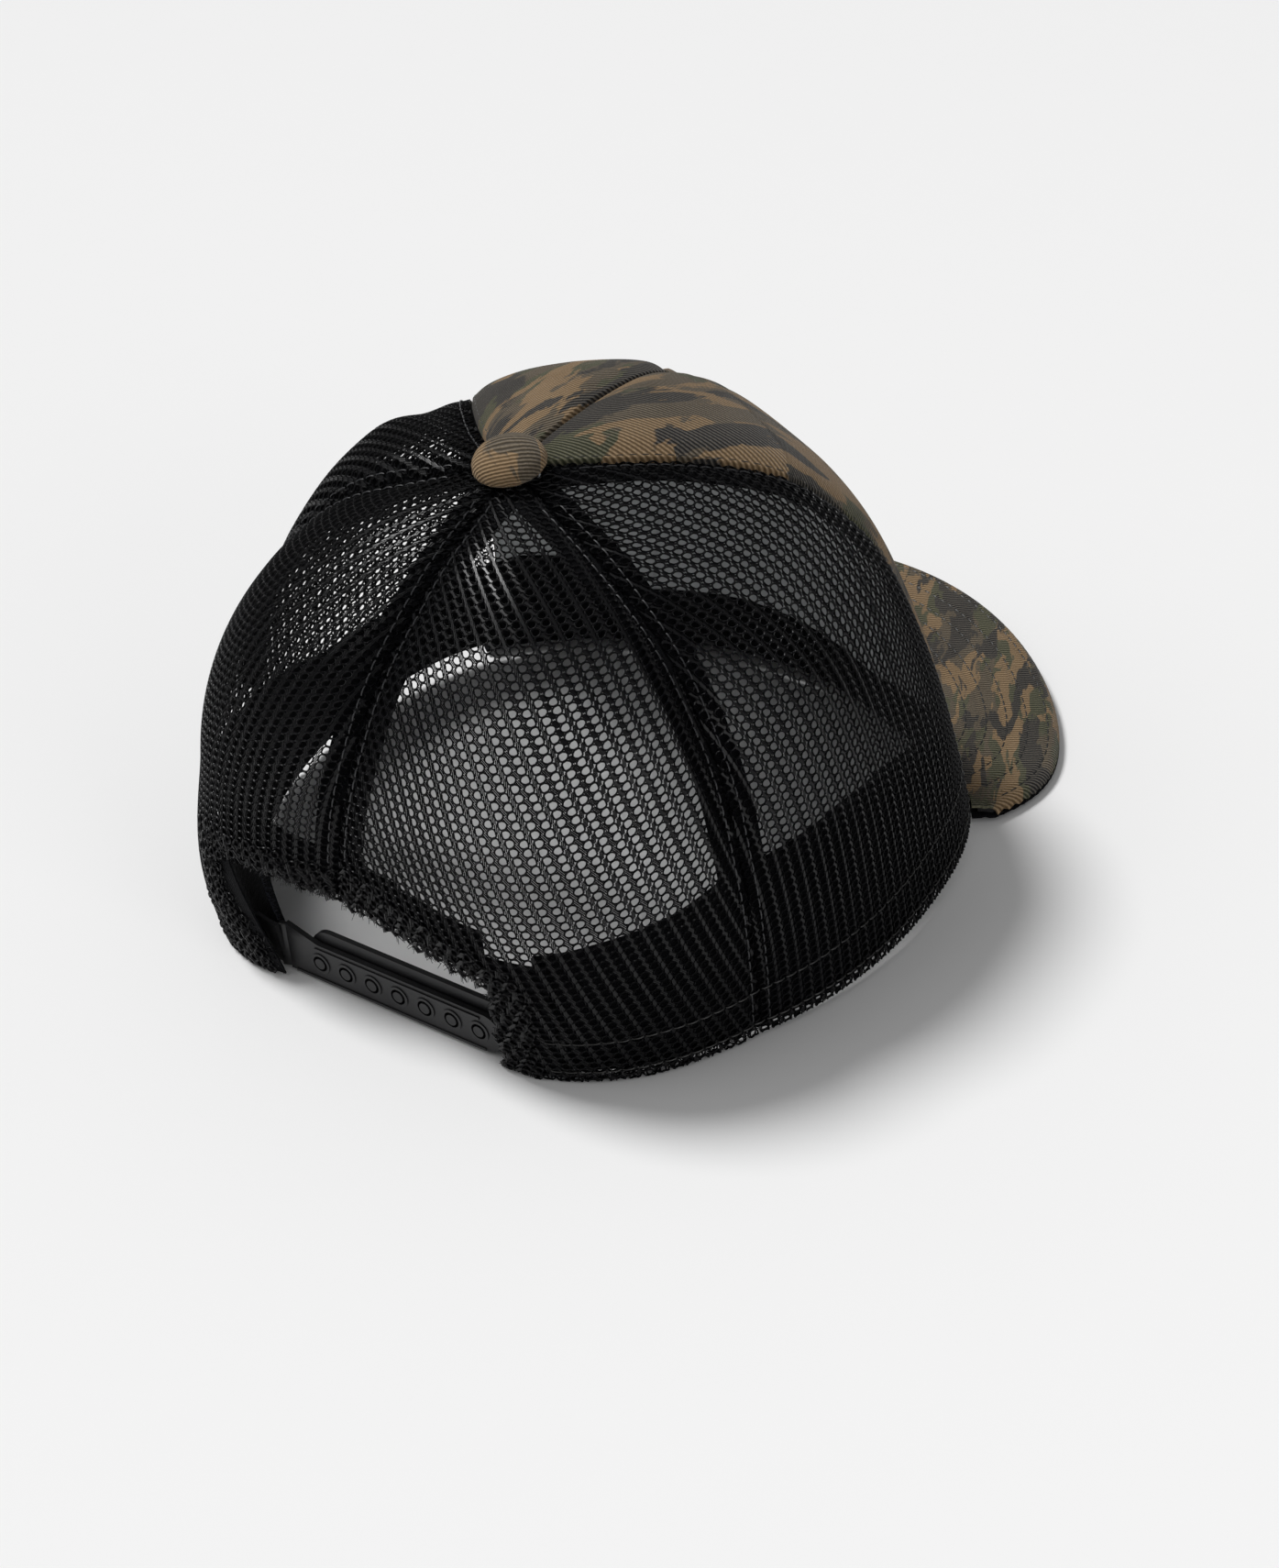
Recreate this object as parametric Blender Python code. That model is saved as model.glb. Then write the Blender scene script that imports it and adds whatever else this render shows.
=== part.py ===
"""Mesh-back cap with a snap strap, as separate sewn, riveted and moulded pieces.

Frame: +Z up, the visor points to -Y, the wearer's right side is -X. The cap lies on a table at z = 0.
A place on the crown is an angle (0 at the front, 90 on the wearer's right, 180 at the back) and a
fraction t of the way down from the button (t = 0) to the hem (t = 1).
"""

import math

import bmesh
import bpy
import numpy as np

MM = 0.001
GAP = 0.3

# Crown, all in millimetres. Each triple is the value at the front, at the side and at the back.
CENTRE_Y = 18.3
HEM_RADII = (77.0, 79.0, 90.0, 91.0, 95.0, 103.0, 92.0)
HEM_LIFT = 5.5
HEM_LIFT_FROM, HEM_LIFT_TO = 140.0, 60.0
BUTTON_Y, BUTTON_Z, BUTTON_TILT = 29.0, 119.5, 9.0
NEAR_REACH, NEAR_HEIGHT = (0.59, 0.68, 0.63), (130.0, 109.5, 113.5)
FAR_REACH, FAR_HEIGHT = (0.91, 0.90, 1.26), (120.0, 95.5, 83.0)

# Where the shells are divided down the crown. The two front seams part at PEAK.
PEAK = 0.42
ROWS = (0.03, 0.08, 0.14, 0.21, 0.28, 0.35, PEAK, 0.424, 0.44, 0.48,
        0.55, 0.62, 0.69, 0.76, 0.80, 0.86, 0.91, 0.955, 1.0)
SWEATBAND_TOP, SWEATBAND_FOOT, TAPE_FOOT = 0.80, 0.955, 0.76

# Depths below the crown's outer surface, outer face first.
CLOTH = (0.0, 1.2)
BACKING = (1.6, 2.8)
FRONT_TAPE = (3.2, 4.0)
MESH_TAPE = (1.6, 2.6)
SWEATBAND = (3.4, 4.8)
ANCHOR = (1.8, 2.8)
TAPE_HALF_WIDTH = 6.0
FRONT_SPREAD = 34.0

# Opening above the strap, seen from behind: x and z, once around. It sags towards the right.
ARCH = ((-34, -4), (-35, 19), (-31, 24), (-18, 25), (0, 27.5), (14, 31), (27, 35),
        (40, 35), (48, 31.5), (43, 20), (36.5, 10), (34.5, -4))
ARCH_EDGE_FROM, ARCH_EDGE_TO, ARCH_BINDING_WIDTH = -30.0, 43.0, 0.045

# Visor
VISOR_SPREAD = 61.0
VISOR_HALF_WIDTH, VISOR_TIP_Y, VISOR_SIDE_Y = 91.5, -134.0, -62.0
VISOR_TOP, VISOR_SAG = 8.5, 4.3
VISOR_CORNER_IN, VISOR_CORNER_BACK = 7.0, 14.0
VISOR_TOP_COVER, VISOR_BOARD, VISOR_UNDER_COVER = (0.0, 0.8), (1.1, 2.9), (3.2, 4.0)
VISOR_CLEARANCE, BOARD_INSET = 0.6, 1.5

# Strap. Depths are y from the crown's centre.
PEG_COUNT, PEG_PITCH, FIRST_PEG_X, PEG_Z = 7, 8.2, 23.8, 6.2
PEG_RADIUS, HOLE_RADIUS = 1.45, 2.2
STRAP_THICKNESS = 1.4
OUTER_FACE_Y, INNER_FACE_Y, PEG_TIP_Y = 92.0, 90.2, 92.4
OUTER_HINGE_X, INNER_HINGE_X = 34.2, -42.0
OUTER_FOOT, OUTER_TOP, OUTER_ROOT_TOP, OUTER_ROOT_X = 0.8, 11.7, 14.7, 27.0
INNER_FOOT, INNER_TOP, INNER_TIP_X = 1.0, 15.0, 27.5
ANCHOR_LENGTH = 8.0

# Button
BUTTON_RADIUS, BUTTON_RISE, BUTTON_FOOT, COVER_THICKNESS = 8.4, 4.5, 0.5, 0.6
STEM_RADIUS, STEM_LENGTH = 1.2, 5.5
RIVET_RADIUS, RIVET_HOLE, RIVET_DEPTH, RIVET_THICKNESS = 6.0, 1.6, 3.2, 0.9

COLOURS = {
    "camo_twill": ((0.16, 0.13, 0.085), 0.85, 0.0),
    "black_mesh": ((0.012, 0.012, 0.014), 0.5, 0.0),
    "grey_backing": ((0.33, 0.34, 0.35), 0.9, 0.0),
    "black_cloth": ((0.014, 0.014, 0.016), 0.9, 0.0),
    "black_plastic": ((0.016, 0.016, 0.018), 0.38, 0.0),
    "visor_board": ((0.5, 0.5, 0.48), 0.6, 0.0),
    "button_metal": ((0.55, 0.55, 0.56), 0.35, 1.0),
}


def clear_scene():
    for obj in list(bpy.data.objects):
        bpy.data.objects.remove(obj, do_unlink=True)


def material(name):
    found = bpy.data.materials.get(name)
    if found:
        return found
    colour, roughness, metallic = COLOURS[name]
    made = bpy.data.materials.new(name)
    made.use_nodes = True
    shader = made.node_tree.nodes["Principled BSDF"]
    shader.inputs["Base Color"].default_value = (*colour, 1.0)
    shader.inputs["Roughness"].default_value = roughness
    shader.inputs["Metallic"].default_value = metallic
    return made


def new_object(name, mesh_data, look, origin=(0.0, 0.0, 0.0)):
    """An object from a bmesh in millimetres, with its origin at the given point."""
    for vert in mesh_data.verts:
        vert.co = [(value - start) * MM for value, start in zip(vert.co, origin)]
    bmesh.ops.recalc_face_normals(mesh_data, faces=mesh_data.faces)
    mesh = bpy.data.meshes.new(name)
    mesh_data.to_mesh(mesh)
    mesh_data.free()
    mesh.materials.append(material(look))
    mesh.shade_smooth()
    mesh.set_sharp_from_angle(angle=math.radians(35))
    obj = bpy.data.objects.new(name, mesh)
    obj.location = [value * MM for value in origin]
    bpy.context.scene.collection.objects.link(obj)
    return obj


# The crown's surface

def around(values, angle):
    """Blends front, side and back values smoothly round the crown."""
    front, side, back = values
    turn = np.cos(angle)
    return side + (front - back) / 2 * turn + ((front + back) / 2 - side) * turn * turn


def hem_radius(angle):
    """Smooth closed curve through HEM_RADII, which stand every 30 degrees and mirror past the back."""
    knots = np.array(HEM_RADII + HEM_RADII[-2:0:-1])
    place = np.degrees(angle) / 30 % len(knots)
    start = np.floor(place).astype(int)
    part = place - start
    before, here, after, beyond = [knots[(start + step) % len(knots)] for step in (-1, 0, 1, 2)]
    cubic = 3 * (here - after) + beyond - before
    square = 2 * before - 5 * here + 4 * after - beyond
    return here + 0.5 * part * (after - before + part * (square + part * cubic))


def hem_height(angle):
    """The hem lies on the table at the back and is lifted by the visor at the front."""
    from_front = np.abs((np.degrees(angle) + 180) % 360 - 180)
    part = np.clip((from_front - HEM_LIFT_FROM) / (HEM_LIFT_TO - HEM_LIFT_FROM), 0, 1)
    return HEM_LIFT * part * part * (3 - 2 * part)


def crown(angle, t):
    """Point of the crown's outer surface: a cubic curve from the button to the hem at each angle."""
    rest = 1 - t
    near, far = 3 * rest * rest * t, 3 * rest * t * t
    reach = near * around(NEAR_REACH, angle) + far * around(FAR_REACH, angle) + t**3
    height = (rest**3 * BUTTON_Z + near * around(NEAR_HEIGHT, angle)
              + far * around(FAR_HEIGHT, angle) + t**3 * hem_height(angle))
    x = -reach * hem_radius(angle) * np.sin(angle)
    y = CENTRE_Y + (1 - reach) * BUTTON_Y - reach * hem_radius(angle) * np.cos(angle)
    return np.stack([x, y, height], axis=-1)


def crown_normal(angle, t):
    """Outward unit normal of the crown."""
    step = 1e-4
    along = crown(angle, t + step) - crown(angle, t - step)
    across = crown(angle + step, t) - crown(angle - step, t)
    normal = np.cross(across, along)
    return normal / np.linalg.norm(normal, axis=-1, keepdims=True)


def below(angle, t, depth):
    """Point under the crown's surface. On the hem itself it stays level with the hem."""
    point = crown(angle, t) - depth * crown_normal(angle, t)
    point[..., 2] = np.where(t >= 1, crown(angle, t)[..., 2], point[..., 2])
    return point


def crown_place(x, z):
    """The angle and t of the back of the crown at this x and z."""
    place = np.array([math.pi, 0.85])
    for _ in range(12):
        here = crown(place[0], place[1])
        step = 1e-5
        turned = (crown(place[0] + step, place[1]) - here) / step
        lowered = (crown(place[0], place[1] + step) - here) / step
        slope = np.array([[turned[0], lowered[0]], [turned[2], lowered[2]]])
        place -= np.linalg.solve(slope, np.array([here[0] - x, here[2] - z]))
    return place


# Solids built as a grid of points with an outer and an inner face

def sheet(name, outer, inner, look, origin=(0.0, 0.0, 0.0)):
    """Closed sheet between two equal grids of points."""
    rows, columns = outer.shape[:2]
    data = bmesh.new()
    grids = [[[data.verts.new(point) for point in row] for row in grid] for grid in (outer, inner)]
    for grid in grids:
        for i in range(rows - 1):
            for j in range(columns - 1):
                data.faces.new((grid[i][j], grid[i][j + 1], grid[i + 1][j + 1], grid[i + 1][j]))
    rim = ([(0, j) for j in range(columns - 1)]
           + [(i, columns - 1) for i in range(rows - 1)]
           + [(rows - 1, j) for j in range(columns - 1, 0, -1)]
           + [(i, 0) for i in range(rows - 1, 0, -1)])
    for (i, j), (k, m) in zip(rim, rim[1:] + rim[:1]):
        data.faces.new((grids[0][i][j], grids[0][k][m], grids[1][k][m], grids[1][i][j]))
    return new_object(name, data, look, origin)


def crown_sheet(name, angles, ts, depths, look):
    return sheet(name, below(angles, ts, depths[0]), below(angles, ts, depths[1]), look)


def across_angle(angle, t, distance):
    """The turn, in radians, that moves this far sideways on the crown."""
    step = 1e-4
    speed = np.linalg.norm(crown(angle + step, t) - crown(angle - step, t), axis=-1) / (2 * step)
    return distance / speed


def rows_between(top, foot):
    return np.array([row for row in ROWS if top - 1e-9 <= row <= foot + 1e-9])


def panel(name, first_seam, last_seam, look, depths=CLOTH, margin=GAP / 2, top=ROWS[0], foot=1.0, columns=6):
    """Shell between two seams, each a function from t to degrees, kept clear of them by the margin."""
    ts = rows_between(top, foot)
    first = np.radians(first_seam(ts))
    last = np.radians(last_seam(ts))
    first = first + across_angle(first, ts, margin)
    last = last - across_angle(last, ts, margin)
    share = np.linspace(0, 1, columns + 1)[None, :]
    angles = first[:, None] * (1 - share) + last[:, None] * share
    return crown_sheet(name, angles, np.repeat(ts[:, None], columns + 1, axis=1), depths, look)


def tape(name, seam, depths, top=0.08, foot=TAPE_FOOT):
    """Strip that covers a seam on the inside."""
    ts = rows_between(top, foot)
    middle = np.radians(seam(ts))
    reach = np.minimum(across_angle(middle, ts, TAPE_HALF_WIDTH), math.radians(24))
    angles = np.stack([middle - reach, middle, middle + reach], axis=1)
    return crown_sheet(name, angles, np.repeat(ts[:, None], 3, axis=1), depths, "black_cloth")


# Seams, in degrees at each t

def ridge_seam(t):
    return 0 * t


def front_seam(side):
    """Seam of the front panel: it leaves the peak sideways and then runs down to the visor."""
    return lambda t: side * FRONT_SPREAD * np.sqrt(np.clip((t - PEAK) / (1 - PEAK), 0, 1))


def camo_seam_right(t):
    return 58 + 0 * t


def camo_seam_left(t):
    return -58 - 20 * (1 - t) ** 3


def side_seam_right(t):
    return 124 + 0 * t


def side_seam_left(t):
    return -120 + 0 * t


def back_seam(t):
    return 176 + 12 * t


def back_seam_from_left(t):
    return back_seam(t) - 360


# Sewn pieces of the crown

def add_camo_panels():
    panel("front_panel", front_seam(-1), front_seam(1), "camo_twill", top=0.424)
    panel("front_side_panel_right", front_seam(1), camo_seam_right, "camo_twill", columns=5)
    panel("front_side_panel_left", camo_seam_left, front_seam(-1), "camo_twill", columns=5)


def add_backing():
    look = dict(look="grey_backing", depths=BACKING, margin=2.0, foot=SWEATBAND_FOOT)
    panel("front_backing", front_seam(-1), front_seam(1), top=0.48, **look)
    panel("front_side_backing_right", front_seam(1), camo_seam_right, top=0.14, columns=5, **look)
    panel("front_side_backing_left", camo_seam_left, front_seam(-1), top=0.14, columns=5, **look)


def add_mesh_panels(arch_cutter):
    panel("mesh_side_panel_right", camo_seam_right, side_seam_right, "black_mesh")
    panel("mesh_side_panel_left", side_seam_left, camo_seam_left, "black_mesh")
    for name, first, last in (("mesh_back_panel_right", side_seam_right, back_seam),
                              ("mesh_back_panel_left", back_seam_from_left, side_seam_left)):
        cut(panel(name, first, last, "black_mesh", columns=10), arch_cutter)


def add_tapes():
    tape("ridge_seam_tape", ridge_seam, FRONT_TAPE, top=0.14, foot=PEAK)
    for side, name in ((1, "right"), (-1, "left")):
        tape("front_seam_tape_" + name, front_seam(side), FRONT_TAPE, top=0.55)
    tape("camo_seam_tape_right", camo_seam_right, FRONT_TAPE, top=0.14)
    tape("camo_seam_tape_left", camo_seam_left, FRONT_TAPE, top=0.14)
    tape("side_seam_tape_right", side_seam_right, MESH_TAPE, top=0.14)
    tape("side_seam_tape_left", side_seam_left, MESH_TAPE, top=0.14)
    tape("back_seam_tape", back_seam, MESH_TAPE, top=0.14)


def add_sweatband(arch_cutter):
    """One strip round the inside of the hem, from one end of the strap to the other."""
    first, last = crown_place(46.0, 8.0)[0] - 2 * math.pi, crown_place(-44.5, 8.0)[0]
    ts = rows_between(SWEATBAND_TOP, SWEATBAND_FOOT)
    angles = np.repeat(np.linspace(first, last, 49)[None, :], len(ts), axis=0)
    band = crown_sheet("sweatband", angles, np.repeat(ts[:, None], 49, axis=1), SWEATBAND, "black_cloth")
    cut(band, arch_cutter)


def arch_edge_height(x):
    """Height of the opening's upper edge at this x."""
    upper = sorted(point for point in ARCH if point[1] >= 24)
    return np.interp(x, [point[0] for point in upper], [point[1] for point in upper])


def add_arch_binding():
    """Narrow facing inside the opening's upper edge."""
    xs = np.linspace(ARCH_EDGE_FROM, ARCH_EDGE_TO, 15)
    places = np.array([crown_place(x, arch_edge_height(x) + GAP) for x in xs])
    ts = np.stack([places[:, 1] - ARCH_BINDING_WIDTH, places[:, 1]])
    angles = np.stack([places[:, 0], places[:, 0]])
    crown_sheet("arch_binding", angles, ts, ANCHOR, "black_cloth")


def make_arch_cutter():
    """Prism of the opening's outline, running through the back of the crown."""
    data = bmesh.new()
    outline = [data.verts.new((x, CENTRE_Y + 50, z)) for x, z in ARCH]
    face = data.faces.new(outline)
    pushed = bmesh.ops.extrude_face_region(data, geom=[face])["geom"]
    moved = [item for item in pushed if isinstance(item, bmesh.types.BMVert)]
    bmesh.ops.translate(data, verts=moved, vec=(0, 70, 0))
    cutter = new_object("arch_cutter", data, "black_cloth")
    cutter.hide_render = True
    cutter.display_type = "WIRE"
    return cutter


def cut(obj, cutter):
    boolean = obj.modifiers.new("opening", "BOOLEAN")
    boolean.operation = "DIFFERENCE"
    boolean.solver = "EXACT"
    boolean.object = cutter


# Visor

def visor_layer(name, depths, look, inset=0.0, rows=6, columns=28):
    """One layer of the visor, between the hem and the visor's outline."""
    share = np.linspace(-1, 1, columns + 1)
    spread = VISOR_SPREAD - inset * 0.6
    angle = np.radians(spread * share)
    root = crown(angle, np.ones_like(angle))[:, :2]
    outward = crown_normal(angle, np.ones_like(angle))[:, :2]
    root = root + outward / np.linalg.norm(outward, axis=1, keepdims=True) * (VISOR_CLEARANCE + inset)
    rim = visor_rim(share, inset)
    part = np.linspace(0, 1, rows + 1)[:, None, None]
    plan = root[None] * (1 - part) + rim[None] * part
    height = VISOR_TOP - VISOR_SAG * (plan[..., 0] / VISOR_HALF_WIDTH) ** 2
    outer, inner = (np.concatenate([plan, (height - depth)[..., None]], axis=-1) for depth in depths)
    return sheet(name, outer, inner, look)


def visor_rim(share, inset):
    """The visor's outline: a half oval with rounded ends where it meets the crown."""
    turn = share * math.pi / 2
    width = VISOR_HALF_WIDTH - inset
    depth = VISOR_SIDE_Y - VISOR_TIP_Y - inset
    corner = np.abs(share) ** 12
    x = -np.sin(turn) * (width - VISOR_CORNER_IN * corner)
    y = VISOR_SIDE_Y + VISOR_CORNER_BACK * corner - depth * np.abs(np.cos(turn)) ** 1.4
    return np.stack([x, y + CENTRE_Y], axis=-1)


def add_visor():
    visor_layer("visor_top_cover", VISOR_TOP_COVER, "camo_twill")
    visor_layer("visor_board", VISOR_BOARD, "visor_board", inset=BOARD_INSET)
    visor_layer("visor_under_cover", VISOR_UNDER_COVER, "black_cloth")


# Button

def turned(name, profile, look, segments=24):
    """Turned solid from a closed profile of (radius, height) points. A radius of 0 lies on the axis."""
    data = bmesh.new()
    rings = []
    for radius, height in profile:
        count = segments if radius > 0 else 1
        turns = [2 * math.pi * k / segments for k in range(count)]
        rings.append([data.verts.new((radius * math.cos(a), radius * math.sin(a), height)) for a in turns])
    open_ends = profile[0][0] == 0
    pairs = list(zip(rings, rings[1:])) + ([] if open_ends else [(rings[-1], rings[0])])
    for upper, lower in pairs:
        for k in range(segments):
            corners = [upper[k % len(upper)], upper[(k + 1) % len(upper)],
                       lower[(k + 1) % len(lower)], lower[k % len(lower)]]
            data.faces.new(list(dict.fromkeys(corners)))
    obj = new_object(name, data, look)
    obj.location = (0, (CENTRE_Y + BUTTON_Y) * MM, BUTTON_Z * MM)
    obj.rotation_euler = (-math.radians(BUTTON_TILT), 0, 0)
    return obj


def dome(radius, rise, foot, steps=6):
    """Quarter-oval profile from the top of the axis out to the foot."""
    turns = [math.pi / 2 * k / steps for k in range(steps + 1)]
    return [(radius * math.sin(a), foot + rise * math.cos(a)) for a in turns]


def add_button():
    foot = BUTTON_FOOT
    inner_radius, inner_rise = BUTTON_RADIUS - COVER_THICKNESS, BUTTON_RISE - COVER_THICKNESS
    cover = dome(BUTTON_RADIUS, BUTTON_RISE, foot) + dome(inner_radius, inner_rise, foot)[::-1]
    turned("button_cover", cover, "camo_twill")
    shell = dome(inner_radius - GAP, inner_rise - GAP, foot)
    stem = [(STEM_RADIUS, foot), (STEM_RADIUS, foot - STEM_LENGTH), (0, foot - STEM_LENGTH)]
    turned("button_shell", shell + stem, "button_metal")
    top = -RIVET_DEPTH
    washer = [(RIVET_HOLE, top), (RIVET_RADIUS, top),
              (RIVET_RADIUS, top - RIVET_THICKNESS), (RIVET_HOLE, top - RIVET_THICKNESS)]
    turned("button_rivet", washer, "button_metal")


# Snap strap

def peg_centres():
    return [FIRST_PEG_X - PEG_PITCH * k for k in range(PEG_COUNT)]


def round_points(x, z, radius, start, end, steps):
    turns = [math.radians(start + (end - start) * k / steps) for k in range(steps + 1)]
    return [(x + radius * math.cos(a), z + radius * math.sin(a)) for a in turns]


def plate(name, outline, face_y, origin_x, origin_y):
    """Flat strip from its outline in x and z, with its outer face at face_y."""
    data = bmesh.new()
    back = [data.verts.new((x, CENTRE_Y + face_y - STRAP_THICKNESS, z)) for x, z in outline]
    face = data.faces.new(back)
    pushed = bmesh.ops.extrude_face_region(data, geom=[face])["geom"]
    moved = [item for item in pushed if isinstance(item, bmesh.types.BMVert)]
    bmesh.ops.translate(data, verts=moved, vec=(0, STRAP_THICKNESS, 0))
    return new_object(name, data, "black_plastic", (origin_x, CENTRE_Y + origin_y, 0.0))


def rod(name, x, radius, low_y, high_y):
    """Short round bar along Y at peg height, used as a cutter or as a peg."""
    length = (high_y - low_y) * MM
    place = (x * MM, (CENTRE_Y + (low_y + high_y) / 2) * MM, PEG_Z * MM)
    bpy.ops.mesh.primitive_cylinder_add(vertices=16, radius=radius * MM, depth=length,
                                        location=place, rotation=(math.pi / 2, 0, 0))
    obj = bpy.context.object
    obj.name = name
    obj.hide_render = True
    obj.display_type = "WIRE"
    return obj


def combine(obj, others, operation):
    group = bpy.data.collections.new(obj.name + "_tools")
    for other in others:
        group.objects.link(other)
    boolean = obj.modifiers.new("pegs", "BOOLEAN")
    boolean.operation = operation
    boolean.solver = "EXACT"
    boolean.operand_type = "COLLECTION"
    boolean.collection = group


def add_outer_strap():
    """Tongue with the holes. It is sewn in on the wearer's left and bends outward at the tab."""
    end_radius = (OUTER_TOP - OUTER_FOOT) / 2
    end_x = -32.4 + end_radius
    root_x = OUTER_HINGE_X - GAP
    tip = round_points(end_x, OUTER_FOOT + end_radius, end_radius, 270, 90, 10)
    outline = [(root_x, OUTER_FOOT)] + tip + [(OUTER_ROOT_X - 3, OUTER_TOP), (OUTER_ROOT_X, OUTER_ROOT_TOP),
                                             (root_x, OUTER_ROOT_TOP)]
    tongue = plate("strap_outer", outline, OUTER_FACE_Y, OUTER_HINGE_X, OUTER_FACE_Y)
    low, high = OUTER_FACE_Y - STRAP_THICKNESS - 1, OUTER_FACE_Y + 1
    holes = [rod(f"hole_{k}", x, HOLE_RADIUS, low, high) for k, x in enumerate(peg_centres())]
    combine(tongue, holes, "DIFFERENCE")


def add_inner_strap():
    """Tongue with the pegs. It is sewn in on the wearer's right and bends inward behind the tab."""
    root_x = INNER_HINGE_X + GAP
    corner = 6.0
    top_corner = round_points(INNER_TIP_X - corner, INNER_TOP - corner, corner, 0, 90, 5)
    low_corner = round_points(INNER_TIP_X - corner, INNER_FOOT + corner, corner, 270, 360, 5)
    outline = [(root_x, INNER_FOOT)] + low_corner + top_corner + [(root_x, INNER_TOP)]
    hinge_y = INNER_FACE_Y - STRAP_THICKNESS
    tongue = plate("strap_inner", outline, INNER_FACE_Y, INNER_HINGE_X, hinge_y)
    low = INNER_FACE_Y - STRAP_THICKNESS / 2
    pegs = [rod(f"peg_{k}", x, PEG_RADIUS, low, PEG_TIP_Y) for k, x in enumerate(peg_centres())]
    combine(tongue, pegs, "UNION")


def add_anchor(name, near_x, far_x, foot, top):
    """End of the strap that is sewn between the crown and the sweatband."""
    xs, zs = np.linspace(near_x, far_x, 3), np.linspace(top, foot, 3)
    places = np.array([[crown_place(x, z) for x in xs] for z in zs])
    crown_sheet(name, places[..., 0], places[..., 1], ANCHOR, "black_plastic")


def add_strap():
    add_outer_strap()
    add_inner_strap()
    outer_start = OUTER_HINGE_X + 1.0
    add_anchor("strap_outer_anchor", outer_start, outer_start + ANCHOR_LENGTH, 1.2, OUTER_ROOT_TOP)
    inner_start = INNER_HINGE_X - 0.5
    add_anchor("strap_inner_anchor", inner_start, inner_start - ANCHOR_LENGTH, 1.2, INNER_TOP)


def main():
    clear_scene()
    arch_cutter = make_arch_cutter()
    add_camo_panels()
    add_backing()
    add_mesh_panels(arch_cutter)
    add_tapes()
    add_sweatband(arch_cutter)
    add_arch_binding()
    add_visor()
    add_button()
    add_strap()


main()
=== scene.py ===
import math
import random

import bpy
import numpy as np
from mathutils import Matrix, Vector


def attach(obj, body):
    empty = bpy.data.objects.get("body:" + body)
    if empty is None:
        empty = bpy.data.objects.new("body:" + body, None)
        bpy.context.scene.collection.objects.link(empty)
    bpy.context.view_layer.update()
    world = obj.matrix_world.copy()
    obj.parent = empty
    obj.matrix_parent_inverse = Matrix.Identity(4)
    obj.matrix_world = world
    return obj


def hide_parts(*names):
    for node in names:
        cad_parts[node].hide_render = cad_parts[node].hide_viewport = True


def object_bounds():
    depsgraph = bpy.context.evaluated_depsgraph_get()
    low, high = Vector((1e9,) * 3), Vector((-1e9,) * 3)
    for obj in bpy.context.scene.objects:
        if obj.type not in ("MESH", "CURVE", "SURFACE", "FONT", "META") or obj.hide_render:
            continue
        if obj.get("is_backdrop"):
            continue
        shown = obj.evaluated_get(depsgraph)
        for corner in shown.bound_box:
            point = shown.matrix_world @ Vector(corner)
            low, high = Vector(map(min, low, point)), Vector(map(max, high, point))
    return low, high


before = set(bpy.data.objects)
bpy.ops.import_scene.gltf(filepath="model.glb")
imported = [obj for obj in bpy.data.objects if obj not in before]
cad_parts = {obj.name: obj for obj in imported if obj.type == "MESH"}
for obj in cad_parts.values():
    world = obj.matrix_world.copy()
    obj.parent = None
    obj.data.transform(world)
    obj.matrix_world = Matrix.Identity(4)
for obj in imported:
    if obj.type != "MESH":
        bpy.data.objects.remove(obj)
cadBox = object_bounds()
print("frame loaded:", len(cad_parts), "nodes")

mm, perMetre = 0.001, 1000.0
chance = random.Random(11)

# ---- camera, light and table

cameraView = {
    "place": (-0.38869, 0.49856, 0.45128),
    "right": (-0.81113656, -0.58053673, -0.07095484),
    "up": (0.29191169, -0.50698923, 0.81101756),
    "back": (-0.50679883, 0.63713345, 0.58070296),
    "lens": 67.37,
}
light = {
    "skyStrength": 0.27,
    "sunStrength": 2.37, "sunFrom": (0.62, 0.02, 1.0), "sunSoftness": 17,
    "cards": (((0.75, 0.9, 1.3), 0.9, 2.0), ((-1.5, 0.45, 0.60), 0.8, 3.0)),
    "floorColour": (0.905, 0.905, 0.905),
}


def addCamera():
    data = bpy.data.cameras.new("camera")
    camera = bpy.data.objects.new("camera", data)
    bpy.context.scene.collection.objects.link(camera)
    columns = [cameraView[key] for key in ("right", "up", "back", "place")]
    camera.matrix_world = Matrix([[column[row] for column in columns] for row in range(3)] + [[0, 0, 0, 1]])
    data.sensor_width = 36
    data.lens = cameraView["lens"]
    data.clip_start, data.clip_end = 0.01, 20
    bpy.context.scene.camera = camera


def aimed(data, place, strength):
    lamp = bpy.data.objects.new(data.name, data)
    bpy.context.scene.collection.objects.link(lamp)
    lamp.rotation_mode = "QUATERNION"
    lamp.rotation_quaternion = Vector(place).to_track_quat("Z", "Y")
    lamp.location = place
    data.energy = strength


def addLights():
    world = bpy.data.worlds.new("studio")
    bpy.context.scene.world = world
    world.use_nodes = True
    sky = world.node_tree.nodes["Background"]
    sky.inputs["Color"].default_value = (1, 1, 1, 1)
    sky.inputs["Strength"].default_value = light["skyStrength"]
    sun = bpy.data.lights.new("keyLight", "SUN")
    sun.angle = math.radians(light["sunSoftness"])
    aimed(sun, light["sunFrom"], light["sunStrength"])
    for place, size, power in light["cards"]:
        card = bpy.data.lights.new("sheenCard", "AREA")
        card.size = size
        aimed(card, place, power)
    bpy.context.scene.view_settings.view_transform = "Standard"


# ---- shader maths

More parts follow.
